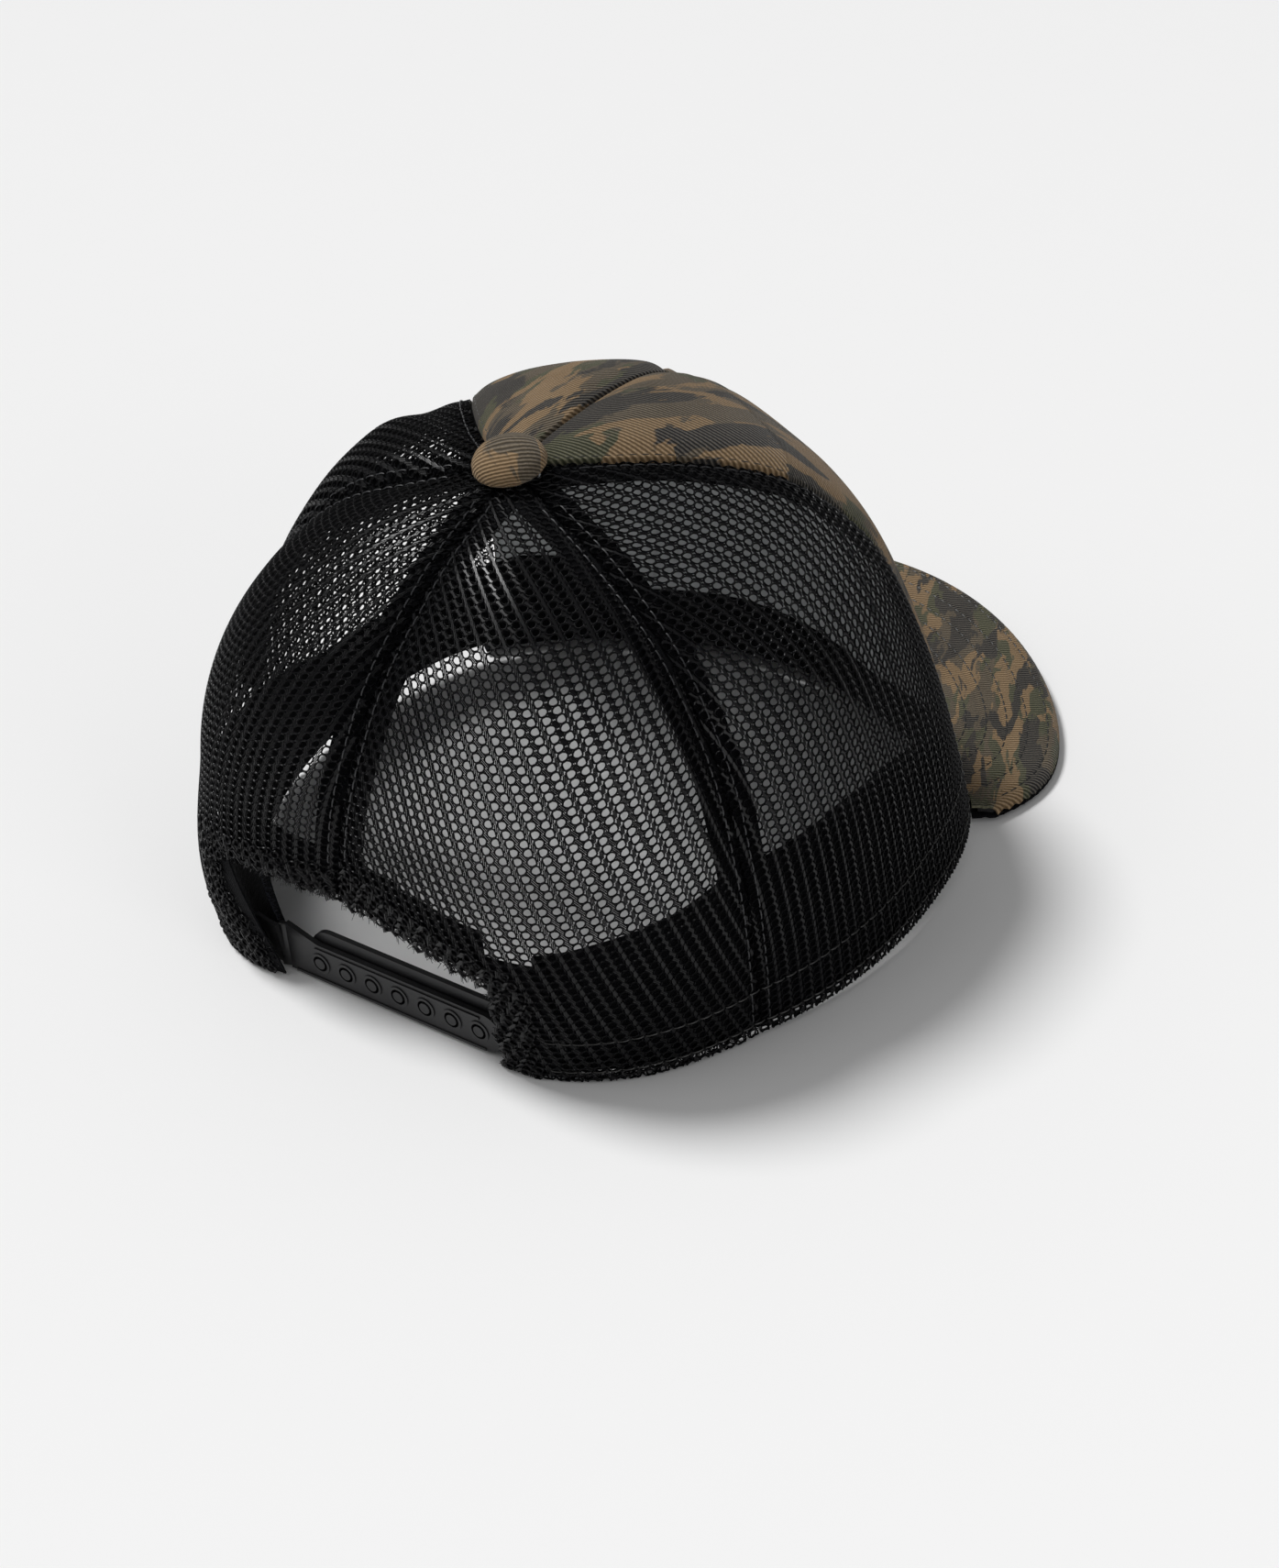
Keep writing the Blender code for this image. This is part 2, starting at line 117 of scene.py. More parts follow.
class Wire:
    # one output of a node; arithmetic on wires adds Math nodes
    def __init__(self, paint, socket):
        self.paint, self.socket = paint, socket

    def reckon(self, operation, other=0.0, swapped=False):
        pair = (other, self) if swapped else (self, other)
        return self.paint.node("ShaderNodeMath", {"operation": operation}, {0: pair[0], 1: pair[1]})

    def __add__(self, other):
        return self.reckon("ADD", other)

    def __sub__(self, other):
        return self.reckon("SUBTRACT", other)

    def __rsub__(self, other):
        return self.reckon("SUBTRACT", other, True)

    def __mul__(self, other):
        return self.reckon("MULTIPLY", other)

    __radd__, __rmul__ = __add__, __mul__


class Paint:
    # a material and its nodes
    def __init__(self, name, finish):
        self.material = bpy.data.materials.new(name)
        self.material.use_nodes = True
        self.tree = self.material.node_tree
        self.shader = self.tree.nodes["Principled BSDF"]
        for socket, value in finish.items():
            self.shader.inputs[socket].default_value = value

    def put(self, socket, value):
        if isinstance(value, Wire):
            self.tree.links.new(value.socket, socket)
        elif hasattr(value, "__len__") and len(value) == 3 and socket.type == "RGBA":
            socket.default_value = (*value, 1)
        else:
            socket.default_value = value

    def node(self, kind, settings=None, inputs=None, output=0):
        made = self.tree.nodes.new(kind)
        for key, value in (settings or {}).items():
            setattr(made, key, value)
        for key, value in (inputs or {}).items():
            self.put(made.inputs[key], value)
        return Wire(self, made.outputs[output])

    def scaled(self, place, scale):
        return self.node("ShaderNodeVectorMath", {"operation": "SCALE"}, {0: place, "Scale": scale})

    def objectPlace(self, scale=perMetre):
        return self.scaled(self.node("ShaderNodeTexCoord", output="Object"), scale)

    def clothPlace(self):
        # the cloth's own flat layout
        return self.scaled(self.node("ShaderNodeUVMap", {"uv_map": "cloth"}), perMetre)

    def noise(self, place, scale, detail=2.0, roughness=0.5, distortion=0.0):
        return self.node("ShaderNodeTexNoise", {"noise_dimensions": "3D"},
                         {"Vector": place, "Scale": scale, "Detail": detail,
                          "Roughness": roughness, "Distortion": distortion})

    def turned(self, place, angle, scale=(1, 1, 1), shift=(0, 0, 0)):
        return self.node("ShaderNodeMapping", {}, {"Vector": place, "Rotation": (0, 0, math.radians(angle)),
                                                   "Scale": scale, "Location": shift})

    def axes(self, place):
        split = self.node("ShaderNodeSeparateXYZ", {}, {0: place})
        return split, Wire(self, split.socket.node.outputs[1])

    def mix(self, part, first, second, blend="MIX"):
        return self.node("ShaderNodeMix", {"data_type": "RGBA", "blend_type": blend, "clamp_factor": True},
                         {0: part, 6: first, 7: second}, output=2)

    def ramp(self, value, low, high):
        return self.node("ShaderNodeMapRange", {"clamp": True},
                         {"Value": value, "From Min": low, "From Max": high})

    def bump(self, height, distance):
        normal = self.node("ShaderNodeBump", {}, {"Height": height, "Distance": distance})
        self.tree.links.new(normal.socket, self.shader.inputs["Normal"])

    def colour(self, value):
        self.put(self.shader.inputs["Base Color"], value)

    def roughness(self, value):
        self.put(self.shader.inputs["Roughness"], value)


# ---- finishes

camo = {
    "earth": (0.108, 0.084, 0.056), "tan": (0.268, 0.172, 0.086), "olive": (0.072, 0.075, 0.040),
    "slate": (0.029, 0.027, 0.026), "worn": (0.330, 0.290, 0.230), "ribPitch": 0.86, "ribLean": -38,
}


def waves(value, pitch):
    return (value * (2 * math.pi / pitch)).reckon("SINE")


def twillRibs(paint, place, pitch, lean):
    # slanting ribs, each broken into short floats
    wobble = paint.noise(place, 0.9, 2.0)
    along, across = paint.axes(paint.turned(place, lean))
    return waves(across + wobble * 0.22, pitch) * 0.5 + 0.5, waves(along + across * 0.5, pitch * 1.5) * 0.5 + 0.5


def makeCamoTwill(name, turn, shift, tanFrom=0.572, slateFrom=0.598, grain=1.0):
    paint = Paint(name, {"Roughness": 0.92, "Specular IOR Level": 0.18, "Sheen Weight": 0.10,
                         "Sheen Roughness": 0.5})
    place = paint.clothPlace()
    printed = paint.turned(place, turn, (grain, grain, grain), shift)
    flow = paint.turned(printed, 0, (0.30, 1.0, 1.0))
    shred = paint.noise(paint.turned(flow, 0, (1.0, 0.8, 1.0)), 0.55, 3.0, 0.65)

    def flakes(turned, scale, shifted):
        # stretched blots whose edges break along angular facets
        moved = paint.turned(flow, turned, shift=shifted)
        facet = paint.node("ShaderNodeTexVoronoi", {"feature": "F1"}, {"Vector": moved, "Scale": scale * 2.1},
                           output=2)
        blot = paint.noise(moved, scale, 2.0, 0.45, 0.9)
        return blot * 0.62 + paint.noise(facet, scale, 1.0, 0.4) * 0.38 + shred * 0.14

    tanShape = flakes(0, 0.120, (0, 0, 0))
    oliveShape = flakes(0, 0.090, (31, 7, 3))
    slateShape = flakes(14, 0.105, (-17, 45, 9))
    colour = paint.mix(paint.ramp(oliveShape, 0.545, 0.565), camo["earth"], camo["olive"])
    colour = paint.mix(paint.ramp(tanShape, tanFrom, tanFrom + 0.014), colour, camo["tan"])
    colour = paint.mix(paint.ramp(slateShape, slateFrom, slateFrom + 0.016), colour, camo["slate"])
    ribs, floats = twillRibs(paint, place, camo["ribPitch"], camo["ribLean"])
    worn = paint.noise(place, 0.05, 3.0, 0.6)
    yarn = paint.noise(place, 3.2, 2.0)
    colour = paint.mix(paint.ramp(ribs * 0.55 + yarn * 0.5 + worn * 0.3, 0.62, 1.25) * 0.42, colour, camo["worn"])
    # painted shade: the grooves between the twill ribs are darkened in the colour itself, and the worn and yarn factors
    # add random tone
    shade = (0.36 + ribs * 0.80 + floats * 0.10) * (0.80 + worn * 0.40) * (0.80 + yarn * 0.4)
    paint.colour(paint.mix(1.0, colour, paint.node("ShaderNodeCombineColor", {}, {0: shade, 1: shade, 2: shade}),
                           "MULTIPLY"))
    paint.bump(ribs * 0.7 + floats * ribs * 0.3 + yarn * 0.3, 0.00030)
    return paint.material


def makeNetYarn():
    paint = Paint("blackNetYarn", {"Specular IOR Level": 0.27})
    place = paint.objectPlace()
    patches, grain = paint.noise(place, 0.06, 3.0), paint.noise(place, 2.6, 2.0)
    paint.colour(paint.mix(paint.ramp(patches * 0.5 + grain * 0.5, 0.35, 0.7), (0.0012, 0.0012, 0.0017),
                           (0.0038, 0.0038, 0.0048)))
    paint.roughness(0.20 + grain * 0.24)
    return paint.material


def plainWeave(paint, place, pitch):
    along, across = paint.axes(place)
    return waves(along, pitch) * waves(across, pitch) * 0.5 + 0.5


def makeBlackCloth(name, pitch=0.55):
    paint = Paint(name, {"Roughness": 0.95, "Specular IOR Level": 0.08, "Sheen Weight": 0.04,
                         "Sheen Roughness": 0.4})
    place = paint.clothPlace()
    weave = plainWeave(paint, place, pitch)
    fluff = paint.noise(place, 1.7, 3.0, 0.7)
    paint.colour(paint.mix(paint.ramp(weave * 0.35 + fluff * 0.75, 0.35, 0.95), (0.0030, 0.0030, 0.0036),
                           (0.010, 0.0105, 0.0125)))
    paint.roughness(0.86 + fluff * 0.14)
    paint.bump(weave * 0.6 + fluff * 0.5, 0.00018)
    return paint.material


def makeLining():
    paint = Paint("greyLiningPaintedLight", {"Specular IOR Level": 0.2, "Sheen Weight": 0.1})
    place = paint.clothPlace()
    weave = plainWeave(paint, place, 0.62)
    slub, cloud = paint.noise(place, 1.1, 3.0), paint.noise(place, 0.05, 3.0)
    # the lining's own light grey, painted brighter to stand in for light that reaches the inside of the crown
    paint.colour(paint.mix(paint.ramp(weave * 0.3 + slub * 0.4 + cloud * 0.5, 0.3, 0.9), (0.700, 0.725, 0.730),
                           (0.840, 0.860, 0.865)))
    paint.roughness(0.80 + slub * 0.18)
    paint.bump(weave * 0.6 + slub * 0.5, 0.00016)
    return paint.material


def makeStrapPlastic():
    paint = Paint("blackStrapPlastic", {"Specular IOR Level": 0.40})
    place = paint.objectPlace()
    cloud, grain = paint.noise(place, 0.12, 3.0), paint.noise(place, 7.0, 2.0)
    scuffs = paint.noise(paint.turned(place, 8, (0.35, 3.0, 3.0)), 0.8, 4.0, 0.7)
    paint.colour(paint.mix(paint.ramp(cloud, 0.3, 0.7), (0.008, 0.008, 0.009), (0.015, 0.015, 0.016)))
    paint.roughness(0.34 + cloud * 0.12 + paint.ramp(scuffs, 0.6, 0.75) * 0.16)
    paint.bump(grain * 0.5 + scuffs * 0.5, 0.00004)
    return paint.material


def makeThread(name, dark, pale):
    paint = Paint(name, {"Specular IOR Level": 0.6})
    place = paint.objectPlace()
    twist = paint.noise(place, 3.0, 2.0)
    paint.colour(paint.mix(paint.ramp(twist, 0.35, 0.65), dark, pale))
    paint.roughness(0.25 + twist * 0.3)
    return paint.material


def makeBoard():
    paint = Paint("visorBoard", {"Specular IOR Level": 0.4})
    cloud = paint.noise(paint.objectPlace(), 0.3, 3.0)
    paint.colour(paint.mix(cloud, (0.012, 0.012, 0.012), (0.024, 0.024, 0.024)))
    paint.roughness(0.45 + cloud * 0.2)
    return paint.material


def makeRivetMetal():
    paint = Paint("rivetMetal", {"Metallic": 1.0})
    brushed = paint.noise(paint.turned(paint.objectPlace(), 0, (0.3, 4.0, 1.0)), 1.5, 3.0)
    paint.colour(paint.mix(brushed, (0.40, 0.40, 0.41), (0.58, 0.58, 0.59)))
    paint.roughness(0.28 + brushed * 0.25)
    paint.bump(brushed, 0.00003)
    return paint.material


def makeFloorCard():
    paint = Paint("floorCard", {"Specular IOR Level": 0.0, "Roughness": 1.0})
    colour = light["floorColour"]
    speck = paint.noise(paint.objectPlace(1.0), 40.0, 2.0)
    paint.colour(paint.mix(speck, colour, tuple(0.994 * value for value in colour)))
    return paint.material


# ---- the crown's surface: an angle (0 front, 90 wearer's right, 180 back) and a fraction t from button to hem

crownShape = {
    "centreY": 18.3,
    "hemRadii": (77.0, 79.0, 90.0, 91.0, 95.0, 103.0, 92.0),
    "hemLift": 5.5, "liftFrom": 140.0, "liftTo": 60.0,
    "buttonY": 29.0, "buttonZ": 119.5,
    "nearReach": (0.59, 0.68, 0.63), "nearHeight": (130.0, 109.5, 113.5),
    "farReach": (0.91, 0.90, 1.26), "farHeight": (120.0, 95.5, 83.0),
    "peak": 0.42, "frontSpread": 34.0,
}
softness = {"bulge": 1.2, "bulgeWidth": 15.0, "sink": 1.3, "sinkWidth": 3.6, "ripple": 0.40,
            "flare": 4.0, "flareAngle": -147.0, "flareSpread": 12.0,
            "puff": 4.5, "puffAngle": -99.0, "puffSpread": 19.0, "puffT": 0.30, "puffReach": 0.17}


def around(values, angle):
    front, side, back = values
    turn = np.cos(angle)
    return side + (front - back) / 2 * turn + ((front + back) / 2 - side) * turn * turn


def smooth(value, low, high):
    part = np.clip((value - low) / (high - low), 0, 1)
    return part * part * (3 - 2 * part)


def runLengths(points):
    # how far along a line each of its points lies
    return np.concatenate([[0], np.cumsum(np.linalg.norm(np.diff(points, axis=0), axis=1))])


def hemRadius(angle):
    radii = crownShape["hemRadii"]
    knots = np.array(radii + radii[-2:0:-1])
    place = np.degrees(angle) / 30 % len(knots)
    start = np.floor(place).astype(int)
    part = place - start
    before, here, after, beyond = [knots[(start + step) % len(knots)] for step in (-1, 0, 1, 2)]
    cubic = 3 * (here - after) + beyond - before
    square = 2 * before - 5 * here + 4 * after - beyond
    return here + 0.5 * part * (after - before + part * (square + part * cubic))


def hemHeight(angle):
    fromFront = np.abs(turnFrom(angle, 0))
    return crownShape["hemLift"] * smooth(-fromFront, -crownShape["liftFrom"], -crownShape["liftTo"])


def crown(angle, t):
    s = crownShape
    rest = 1 - t
    near, far = 3 * rest * rest * t, 3 * rest * t * t
    reach = near * around(s["nearReach"], angle) + far * around(s["farReach"], angle) + t**3
    height = (rest**3 * s["buttonZ"] + near * around(s["nearHeight"], angle)
              + far * around(s["farHeight"], angle) + t**3 * hemHeight(angle))
    x = -reach * hemRadius(angle) * np.sin(angle)
    y = s["centreY"] + (1 - reach) * s["buttonY"] - reach * hemRadius(angle) * np.cos(angle)
    return np.stack([x, y, height], axis=-1)


def crownNormal(angle, t):
    step = 1e-4
    along = crown(angle, t + step) - crown(angle, t - step)
    across = crown(angle + step, t) - crown(angle - step, t)
    normal = np.cross(across, along)
    return normal / np.maximum(np.linalg.norm(normal, axis=-1, keepdims=True), 1e-12)


def speed(angle, t):
    # millimetres sideways for each radian of turn
    step = 1e-4
    return np.maximum(np.linalg.norm(crown(angle + step, t) - crown(angle - step, t), axis=-1) / (2 * step), 0.5)


def frontSeam(t):
    # the two front seams part at the peak
    peak = crownShape["peak"]
    return crownShape["frontSpread"] * np.sqrt(np.clip((t - peak) / (1 - peak), 0, 1))


seams = {
    "ridge": lambda t: 0 * t,
    "frontRight": frontSeam,
    "frontLeft": lambda t: -frontSeam(t),
    "camoRight": lambda t: 58 + 0 * t,
    "camoLeft": lambda t: -58 - 20 * (1 - t) ** 3,
    "sideRight": lambda t: 124 + 0 * t,
    "sideLeft": lambda t: -120 + 0 * t,
    "back": lambda t: 176 + 12 * t,
    "backFromLeft": lambda t: -184 + 12 * t,
}


def middleAngle(first, last, t):
    return np.radians((seams[first](t) + seams[last](t)) / 2)


def turnFrom(angle, start):
    # degrees from start to the angle, between -180 and 180
    return (np.degrees(angle) - start + 180) % 360 - 180


def relief(angle, t):
    # panels swell between the seams and sink at them
    s = softness
    nearest = np.full(np.shape(angle), 99.0)
    for seam in ("ridge", "frontRight", "frontLeft", "camoRight", "camoLeft", "sideRight", "sideLeft", "back"):
        nearest = np.minimum(nearest, np.abs(np.radians(turnFrom(angle, seams[seam](t))) * speed(angle, t)))
    swell = s["bulge"] * (1 - np.exp(-((nearest / s["bulgeWidth"]) ** 2)))
    sink = s["sink"] * np.exp(-((nearest / s["sinkWidth"]) ** 2))
    ripple = s["ripple"] * np.sin(5 * angle + 9 * t) * np.sin(17 * t + 2.2 * np.sin(3 * angle))
    flare = s["flare"] * np.exp(-((turnFrom(angle, s["flareAngle"]) / s["flareSpread"]) ** 2)) * smooth(t, 0.76, 0.94)
    puff = s["puff"] * np.exp(-((turnFrom(angle, s["puffAngle"]) / s["puffSpread"]) ** 4)
                              - ((t - s["puffT"]) / s["puffReach"]) ** 2)
    return (swell - sink + ripple) * smooth(t, 0.02, 0.16) * (1 - 0.75 * smooth(t, 0.72, 1.0)) + flare + puff


def onCrown(angle, t, depth):
    # a point this far under the outer surface; at the hem it stays level
    bare = crown(angle, np.minimum(t, 1.0))
    point = bare + (relief(angle, t) - depth)[..., None] * crownNormal(angle, np.minimum(t, 0.9995))
    point[..., 2] = np.where(t >= 0.999, bare[..., 2], point[..., 2])
    return point


def crownPlace(x, z):
    # the angle and t on the back of the crown at this x and z
    place = np.array([math.pi, 0.85])
    for _ in range(12):
        here = crown(place[0], place[1])
        step = 1e-5
        turned = (crown(place[0] + step, place[1]) - here) / step
        lowered = (crown(place[0], place[1] + step) - here) / step
        slope = np.array([[turned[0], lowered[0]], [turned[2], lowered[2]]])
        place -= np.linalg.solve(slope, np.array([here[0] - x, here[2] - z]))
    return place


# ---- building helpers

def pick(*objs):
    # selects these and nothing else, with the last one active
    bpy.ops.object.select_all(action="DESELECT")
    for obj in objs:
        obj.select_set(True)
        bpy.context.view_layer.objects.active = obj


def justMade(name):
    made = bpy.context.object
    made.name = made.data.name = name
    return made


def applyAll(obj):
    pick(obj)
    for modifier in list(obj.modifiers):
        bpy.ops.object.modifier_apply(modifier=modifier.name)


def settle(obj):
    # puts the object's place into its mesh
    pick(obj)
    bpy.ops.object.transform_apply(location=True, rotation=True, scale=True)


def turnOutward(obj):
    pick(obj)
    bpy.ops.object.mode_set(mode="EDIT")
    bpy.ops.mesh.select_all(action="SELECT")
    bpy.ops.mesh.normals_make_consistent(inside=False)
    bpy.ops.object.mode_set(mode="OBJECT")


def finishPiece(obj, look, slot, node=None, smoothAngle=60, body="cap"):
    # look names one of the finishes, and node is the CAD solid that the piece stands for
    obj.data.materials.clear()
    obj.data.materials.append(looks[look])
    pick(obj)
    bpy.ops.object.shade_smooth_by_angle(angle=math.radians(smoothAngle))
    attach(obj, body)
    if node:
        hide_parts(node)


def meshArrays(obj):
    points = np.empty(len(obj.data.vertices) * 3)
    obj.data.vertices.foreach_get("co", points)
    return points.reshape(-1, 3), [tuple(face.vertices) for face in obj.data.polygons]


def takeTemplate(objs):
    # joins finished primitives and gives their points and faces
    pick(*objs[::-1])
    bpy.ops.object.join()
    joined = bpy.context.object
    settle(joined)
    points, faces = meshArrays(joined)
    bpy.data.objects.remove(joined)
    return points, faces


def fromArrays(name, points, faces):
    mesh = bpy.data.meshes.new(name)
    mesh.from_pydata(np.asarray(points).tolist(), [], faces)
    mesh.update()
    obj = bpy.data.objects.new(name, mesh)
    bpy.context.scene.collection.objects.link(obj)
    return obj


def layCopies(name, copies, place):
    # copies: (template points, template faces, offsets); place turns layout millimetres into points
    allPoints, allFaces, start = [], [], 0
    for points, faces, offsets in copies:
        if not len(offsets):
            continue
        spread = (np.asarray(offsets)[:, None, :] + points[None, :, :]).reshape(-1, 3)
        allPoints.append(place(spread[:, 0], spread[:, 1], spread[:, 2]))
        for size in sorted({len(face) for face in faces}):
            same = np.array([face for face in faces if len(face) == size])
            shift = start + len(points) * np.arange(len(offsets))
            allFaces += (same[None] + shift[:, None, None]).reshape(-1, size).tolist()
        start += len(spread)
    return fromArrays(name, np.concatenate(allPoints) * mm, allFaces)


def writeLayout(obj, flat):
    # keeps the cloth's flat layout as its UV map
    layer = obj.data.uv_layers[0]
    layer.name = "cloth"
    corner = np.empty(len(obj.data.loops), int)
    obj.data.loops.foreach_get("vertex_index", corner)
    layer.data.foreach_set("uv", flat[corner].ravel())


def facesOutward(obj, toward):
    # turns the whole sheet over if its faces look away from the given directions
    mesh = obj.data
    total = 0.0
    for face in list(mesh.polygons)[::max(1, len(mesh.polygons) // 200)]:
        total += face.normal.dot(toward(face.center.copy()))
    if total < 0:
        mesh.flip_normals()


def awayFromMiddle(centre):
    direction = centre.copy()
    direction[1] -= crownShape["centreY"] * mm
    direction[2] -= 0.03
    return direction


def layCloth(name, columns, rows, place, layout, thickness, outward=awayFromMiddle):
    # a grid shaped by place(across, down), then given its thickness
    pick()
    bpy.ops.mesh.primitive_grid_add(x_subdivisions=columns, y_subdivisions=rows, size=2)
    obj = justMade(name)
    points, _ = meshArrays(obj)
    across, down = (points[:, 0] + 1) / 2, (points[:, 1] + 1) / 2
    obj.data.vertices.foreach_set("co", (place(across, down) * mm).ravel())
    writeLayout(obj, layout(across, down) * mm)
    obj.data.update()
    facesOutward(obj, outward)
    wall = obj.modifiers.new("thickness", "SOLIDIFY")
    wall.thickness, wall.offset = thickness * mm, -1
    wall.use_even_offset = False
    applyAll(obj)
    return obj


def evenly(value, bias):
    # packs grid lines towards both edges
    return value + bias * np.sin(2 * math.pi * value) / (-2 * math.pi)


def goreSize(first, last, top, foot):
    # greatest width and length of a gore in metres, and its flat area in square metres
    ts = np.linspace(top, foot, 80)
    middle = middleAngle(first, last, ts)
    width = np.radians(seams[last](ts) - seams[first](ts)) * speed(middle, ts)
    down = runLengths(crown(middle, ts))
    area = np.sum((width[1:] + width[:-1]) / 2 * np.diff(down)) * mm * mm
    return width.max() * mm, down[-1] * mm, area


# ---- camo panels and their lining

clothPieces = {
    "twillThickness": 0.9, "liningThickness": 0.6, "edgeTurn": 1.2, "edgeWidth": 1.1,
    "liningDepth": 1.7, "liningFoot": 0.955, "seamAllowance": 0.012,
}


def goreCloth(name, first, last, top, foot, depth, thickness, columns, rows, turnedEdges=True, margin=0.1):
    def spot(across, down):
        t = top + (foot - top) * down
        start, end = np.radians(seams[first](t)), np.radians(seams[last](t))
        inset = margin / speed((start + end) / 2, t)
        return t, start + inset + (end - start - 2 * inset) * evenly(across, 0.75), start, end

    def place(across, down):
        t, angle, start, end = spot(across, down)
        edge = np.minimum(angle - start, end - angle) * speed(angle, t)
        turn = clothPieces["edgeTurn"] * (1 - smooth(edge, 0, clothPieces["edgeWidth"])) if turnedEdges else 0 * t
        return onCrown(angle, t, depth + turn)

    ts = np.linspace(0, 1, 200)
    lengths = runLengths(crown(middleAngle(first, last, ts), ts))

    def layout(across, down):
        t, angle, start, end = spot(across, down)
        sideways = (angle - (start + end) / 2) * speed((start + end) / 2, t)
        return np.stack([sideways, np.interp(t, ts, lengths)], axis=-1)

    return layCloth(name, columns, rows, place, layout, thickness)


def declareGore(obj, first, last, top, foot):
    width, length, area = goreSize(first, last, top, foot)
    width, length = [round(side + clothPieces["seamAllowance"], 3) for side in (width, length)]
    area = round(max(area, 0.31 * width * length), 5)
    print("  cut of", obj.name, width, length, area)


def makeCamoPanels():
    c = clothPieces
    cuts = (("front_panel", "frontLeft", "frontRight", 0.424, 44, 70, "camoFront"),
            ("front_side_panel_right", "frontRight", "camoRight", 0.03, 56, 120, "camoRight"),
            ("front_side_panel_left", "camoLeft", "frontLeft", 0.03, 56, 120, "camoLeft"))
    for node, first, last, top, columns, rows, look in cuts:
        obj = goreCloth("camo_" + node, first, last, top, 1.0, 0.0, c["twillThickness"], columns, rows)
        finishPiece(obj, look, "camo_twill", node)
        declareGore(obj, first, last, top, 1.0)
    cuts = (("front_backing", "frontLeft", "frontRight", 0.46, 24, 40),
            ("front_side_backing_right", "frontRight", "camoRight", 0.12, 30, 60),
            ("front_side_backing_left", "camoLeft", "frontLeft", 0.12, 30, 60))
    for node, first, last, top, columns, rows in cuts:
        obj = goreCloth("lining_" + node, first, last, top, c["liningFoot"], c["liningDepth"], c["liningThickness"],
                        columns, rows, False, 0.3)
        finishPiece(obj, "lining", "grey_backing", node)
        declareGore(obj, first, last, top, c["liningFoot"])
    print("camo panels and lining done")


# ---- net panels

net = {
    "columnPitch": 3.1, "rowPitch": 2.15, "yarn": 0.235, "strand": 0.185,
    "holeFlat": 1.00, "holePoint": 1.24, "holeHalf": 1.04, "ringPoints": 10,
    "depth": 0.35, "allowance": 0.5, "margin": 0.15, "hemTurn": 4.5, "hemGap": 0.7,
    "archGap": 0.6, "bandWidth": 11.0, "bandGap": 2.1, "bandLift": 0.45, "bandDeep": 1.2,
    "strandStep": 0.36, "strandDrop": 0.16, "ladderLean": (24, -17), "topGap": 3.5, "widest": 75, "pivot": 0.75,
}
arch = ((-33.6, -4), (-35.0, 22.5), (-32, 27.6), (-18, 29.2), (0, 30.9), (14, 32.9), (27, 35.5),
        (40, 35), (48, 31.5), (42.5, 20), (35.8, 10), (33.6, -4))
openingMiddle = (3.0, 12.0)


def insideArch(x, z, grow=0.0):
    # even-odd test against the opening's outline, drawn as seen from behind
    points = np.array(arch, float)
    middle = np.array(openingMiddle)
    points = points + grow * (points - middle) / np.linalg.norm(points - middle, axis=1, keepdims=True)
    inside = np.zeros(np.shape(x), bool)
    for (x0, z0), (x1, z1) in zip(points, np.roll(points, -1, axis=0)):
        crosses = (z0 > z) != (z1 > z)
        at = x0 + (z - z0) * (x1 - x0) / (z1 - z0 if z1 != z0 else 1e-9)
        inside ^= crosses & (x < at)
    return inside


def netCell(mirrored, deep):
    # one knitted hole with the three strands of the ladder beside it
    n = net
    pick()
    bpy.ops.mesh.primitive_torus_add(major_segments=n["ringPoints"], minor_segments=4,
                                     major_radius=1.0, minor_radius=n["yarn"])
    ring = justMade("ring")
    side = -1 if mirrored else 1
    for vert in ring.data.vertices:
        turn = math.atan2(vert.co.y, vert.co.x)
        offset = math.hypot(vert.co.x, vert.co.y) - 1.0
        tip = max(0.0, math.cos(turn))
        flat = max(0.0, -math.cos(turn))
        x = n["holePoint"] * tip - n["holeFlat"] * flat**0.55
        y = n["holeHalf"] * math.copysign(abs(math.sin(turn)) ** (0.85 + 0.35 * tip), math.sin(turn))
        vert.co.x = side * (x + offset * math.cos(turn))
        vert.co.y = y + offset * math.sin(turn)
        vert.co.z = -vert.co.z * deep
    if mirrored:
        ring.data.flip_normals()
    objs = [ring]
    for k in (-1, 0, 1):
        bpy.ops.mesh.primitive_cylinder_add(
            vertices=3, radius=n["strand"], depth=n["rowPitch"] * 1.02,
            location=(n["columnPitch"] / 2 + k * n["strandStep"], 0.225 * n["rowPitch"], 0.12 - n["strandDrop"] * k),
            rotation=(math.pi / 2, 0, math.radians(n["ladderLean"][int(mirrored)])))
        objs.append(justMade("strand"))
    return takeTemplate(objs)


def panelPlace(first, last):
    # layout millimetres (across from the panel's middle, down from the button, depth) to points
    ts = np.linspace(0, 1, 400)
    lengths = runLengths(crown(middleAngle(first, last, ts), ts))

    def spot(u, v):
        over = v - lengths[-1]
        t = np.interp(np.where(over > 0, lengths[-1] - over, v), lengths, ts)
        centre = middleAngle(first, last, t)
        angle = centre + np.clip(u / speed(centre, t), -1.2, 1.2)
        for _ in range(3):
            arc = (speed(centre, t) + 4 * speed((angle + centre) / 2, t) + speed(angle, t)) / 6 * (angle - centre)
            angle = np.clip(angle + (u - arc) / speed(angle, t), centre - 1.3, centre + 1.3)
        pace = speed(angle, t)
        return t, angle, over, (np.radians(seams[first](t)) - angle) * pace, (angle - np.radians(seams[last](t))) * pace

    def place(u, v, depth):
        # what lies past a seam turns inwards along it, and what lies past the hem turns up inside
        t, angle, over, pastFirst, pastLast = spot(u, v)
        pace = speed(angle, t)
        margin = net["margin"]
        turnFirst, turnLast = np.maximum(pastFirst + margin, 0), np.maximum(pastLast + margin, 0)
        angle = angle + (turnFirst - turnLast) / pace
        inward = turnFirst + turnLast + net["hemGap"] * smooth(over, -0.4, 1.2)
        point = onCrown(angle, t, net["depth"] + depth + inward)
        point[:, 2] = np.maximum(point[:, 2], 0.02)
        return point

    return spot, place, lengths[-1]


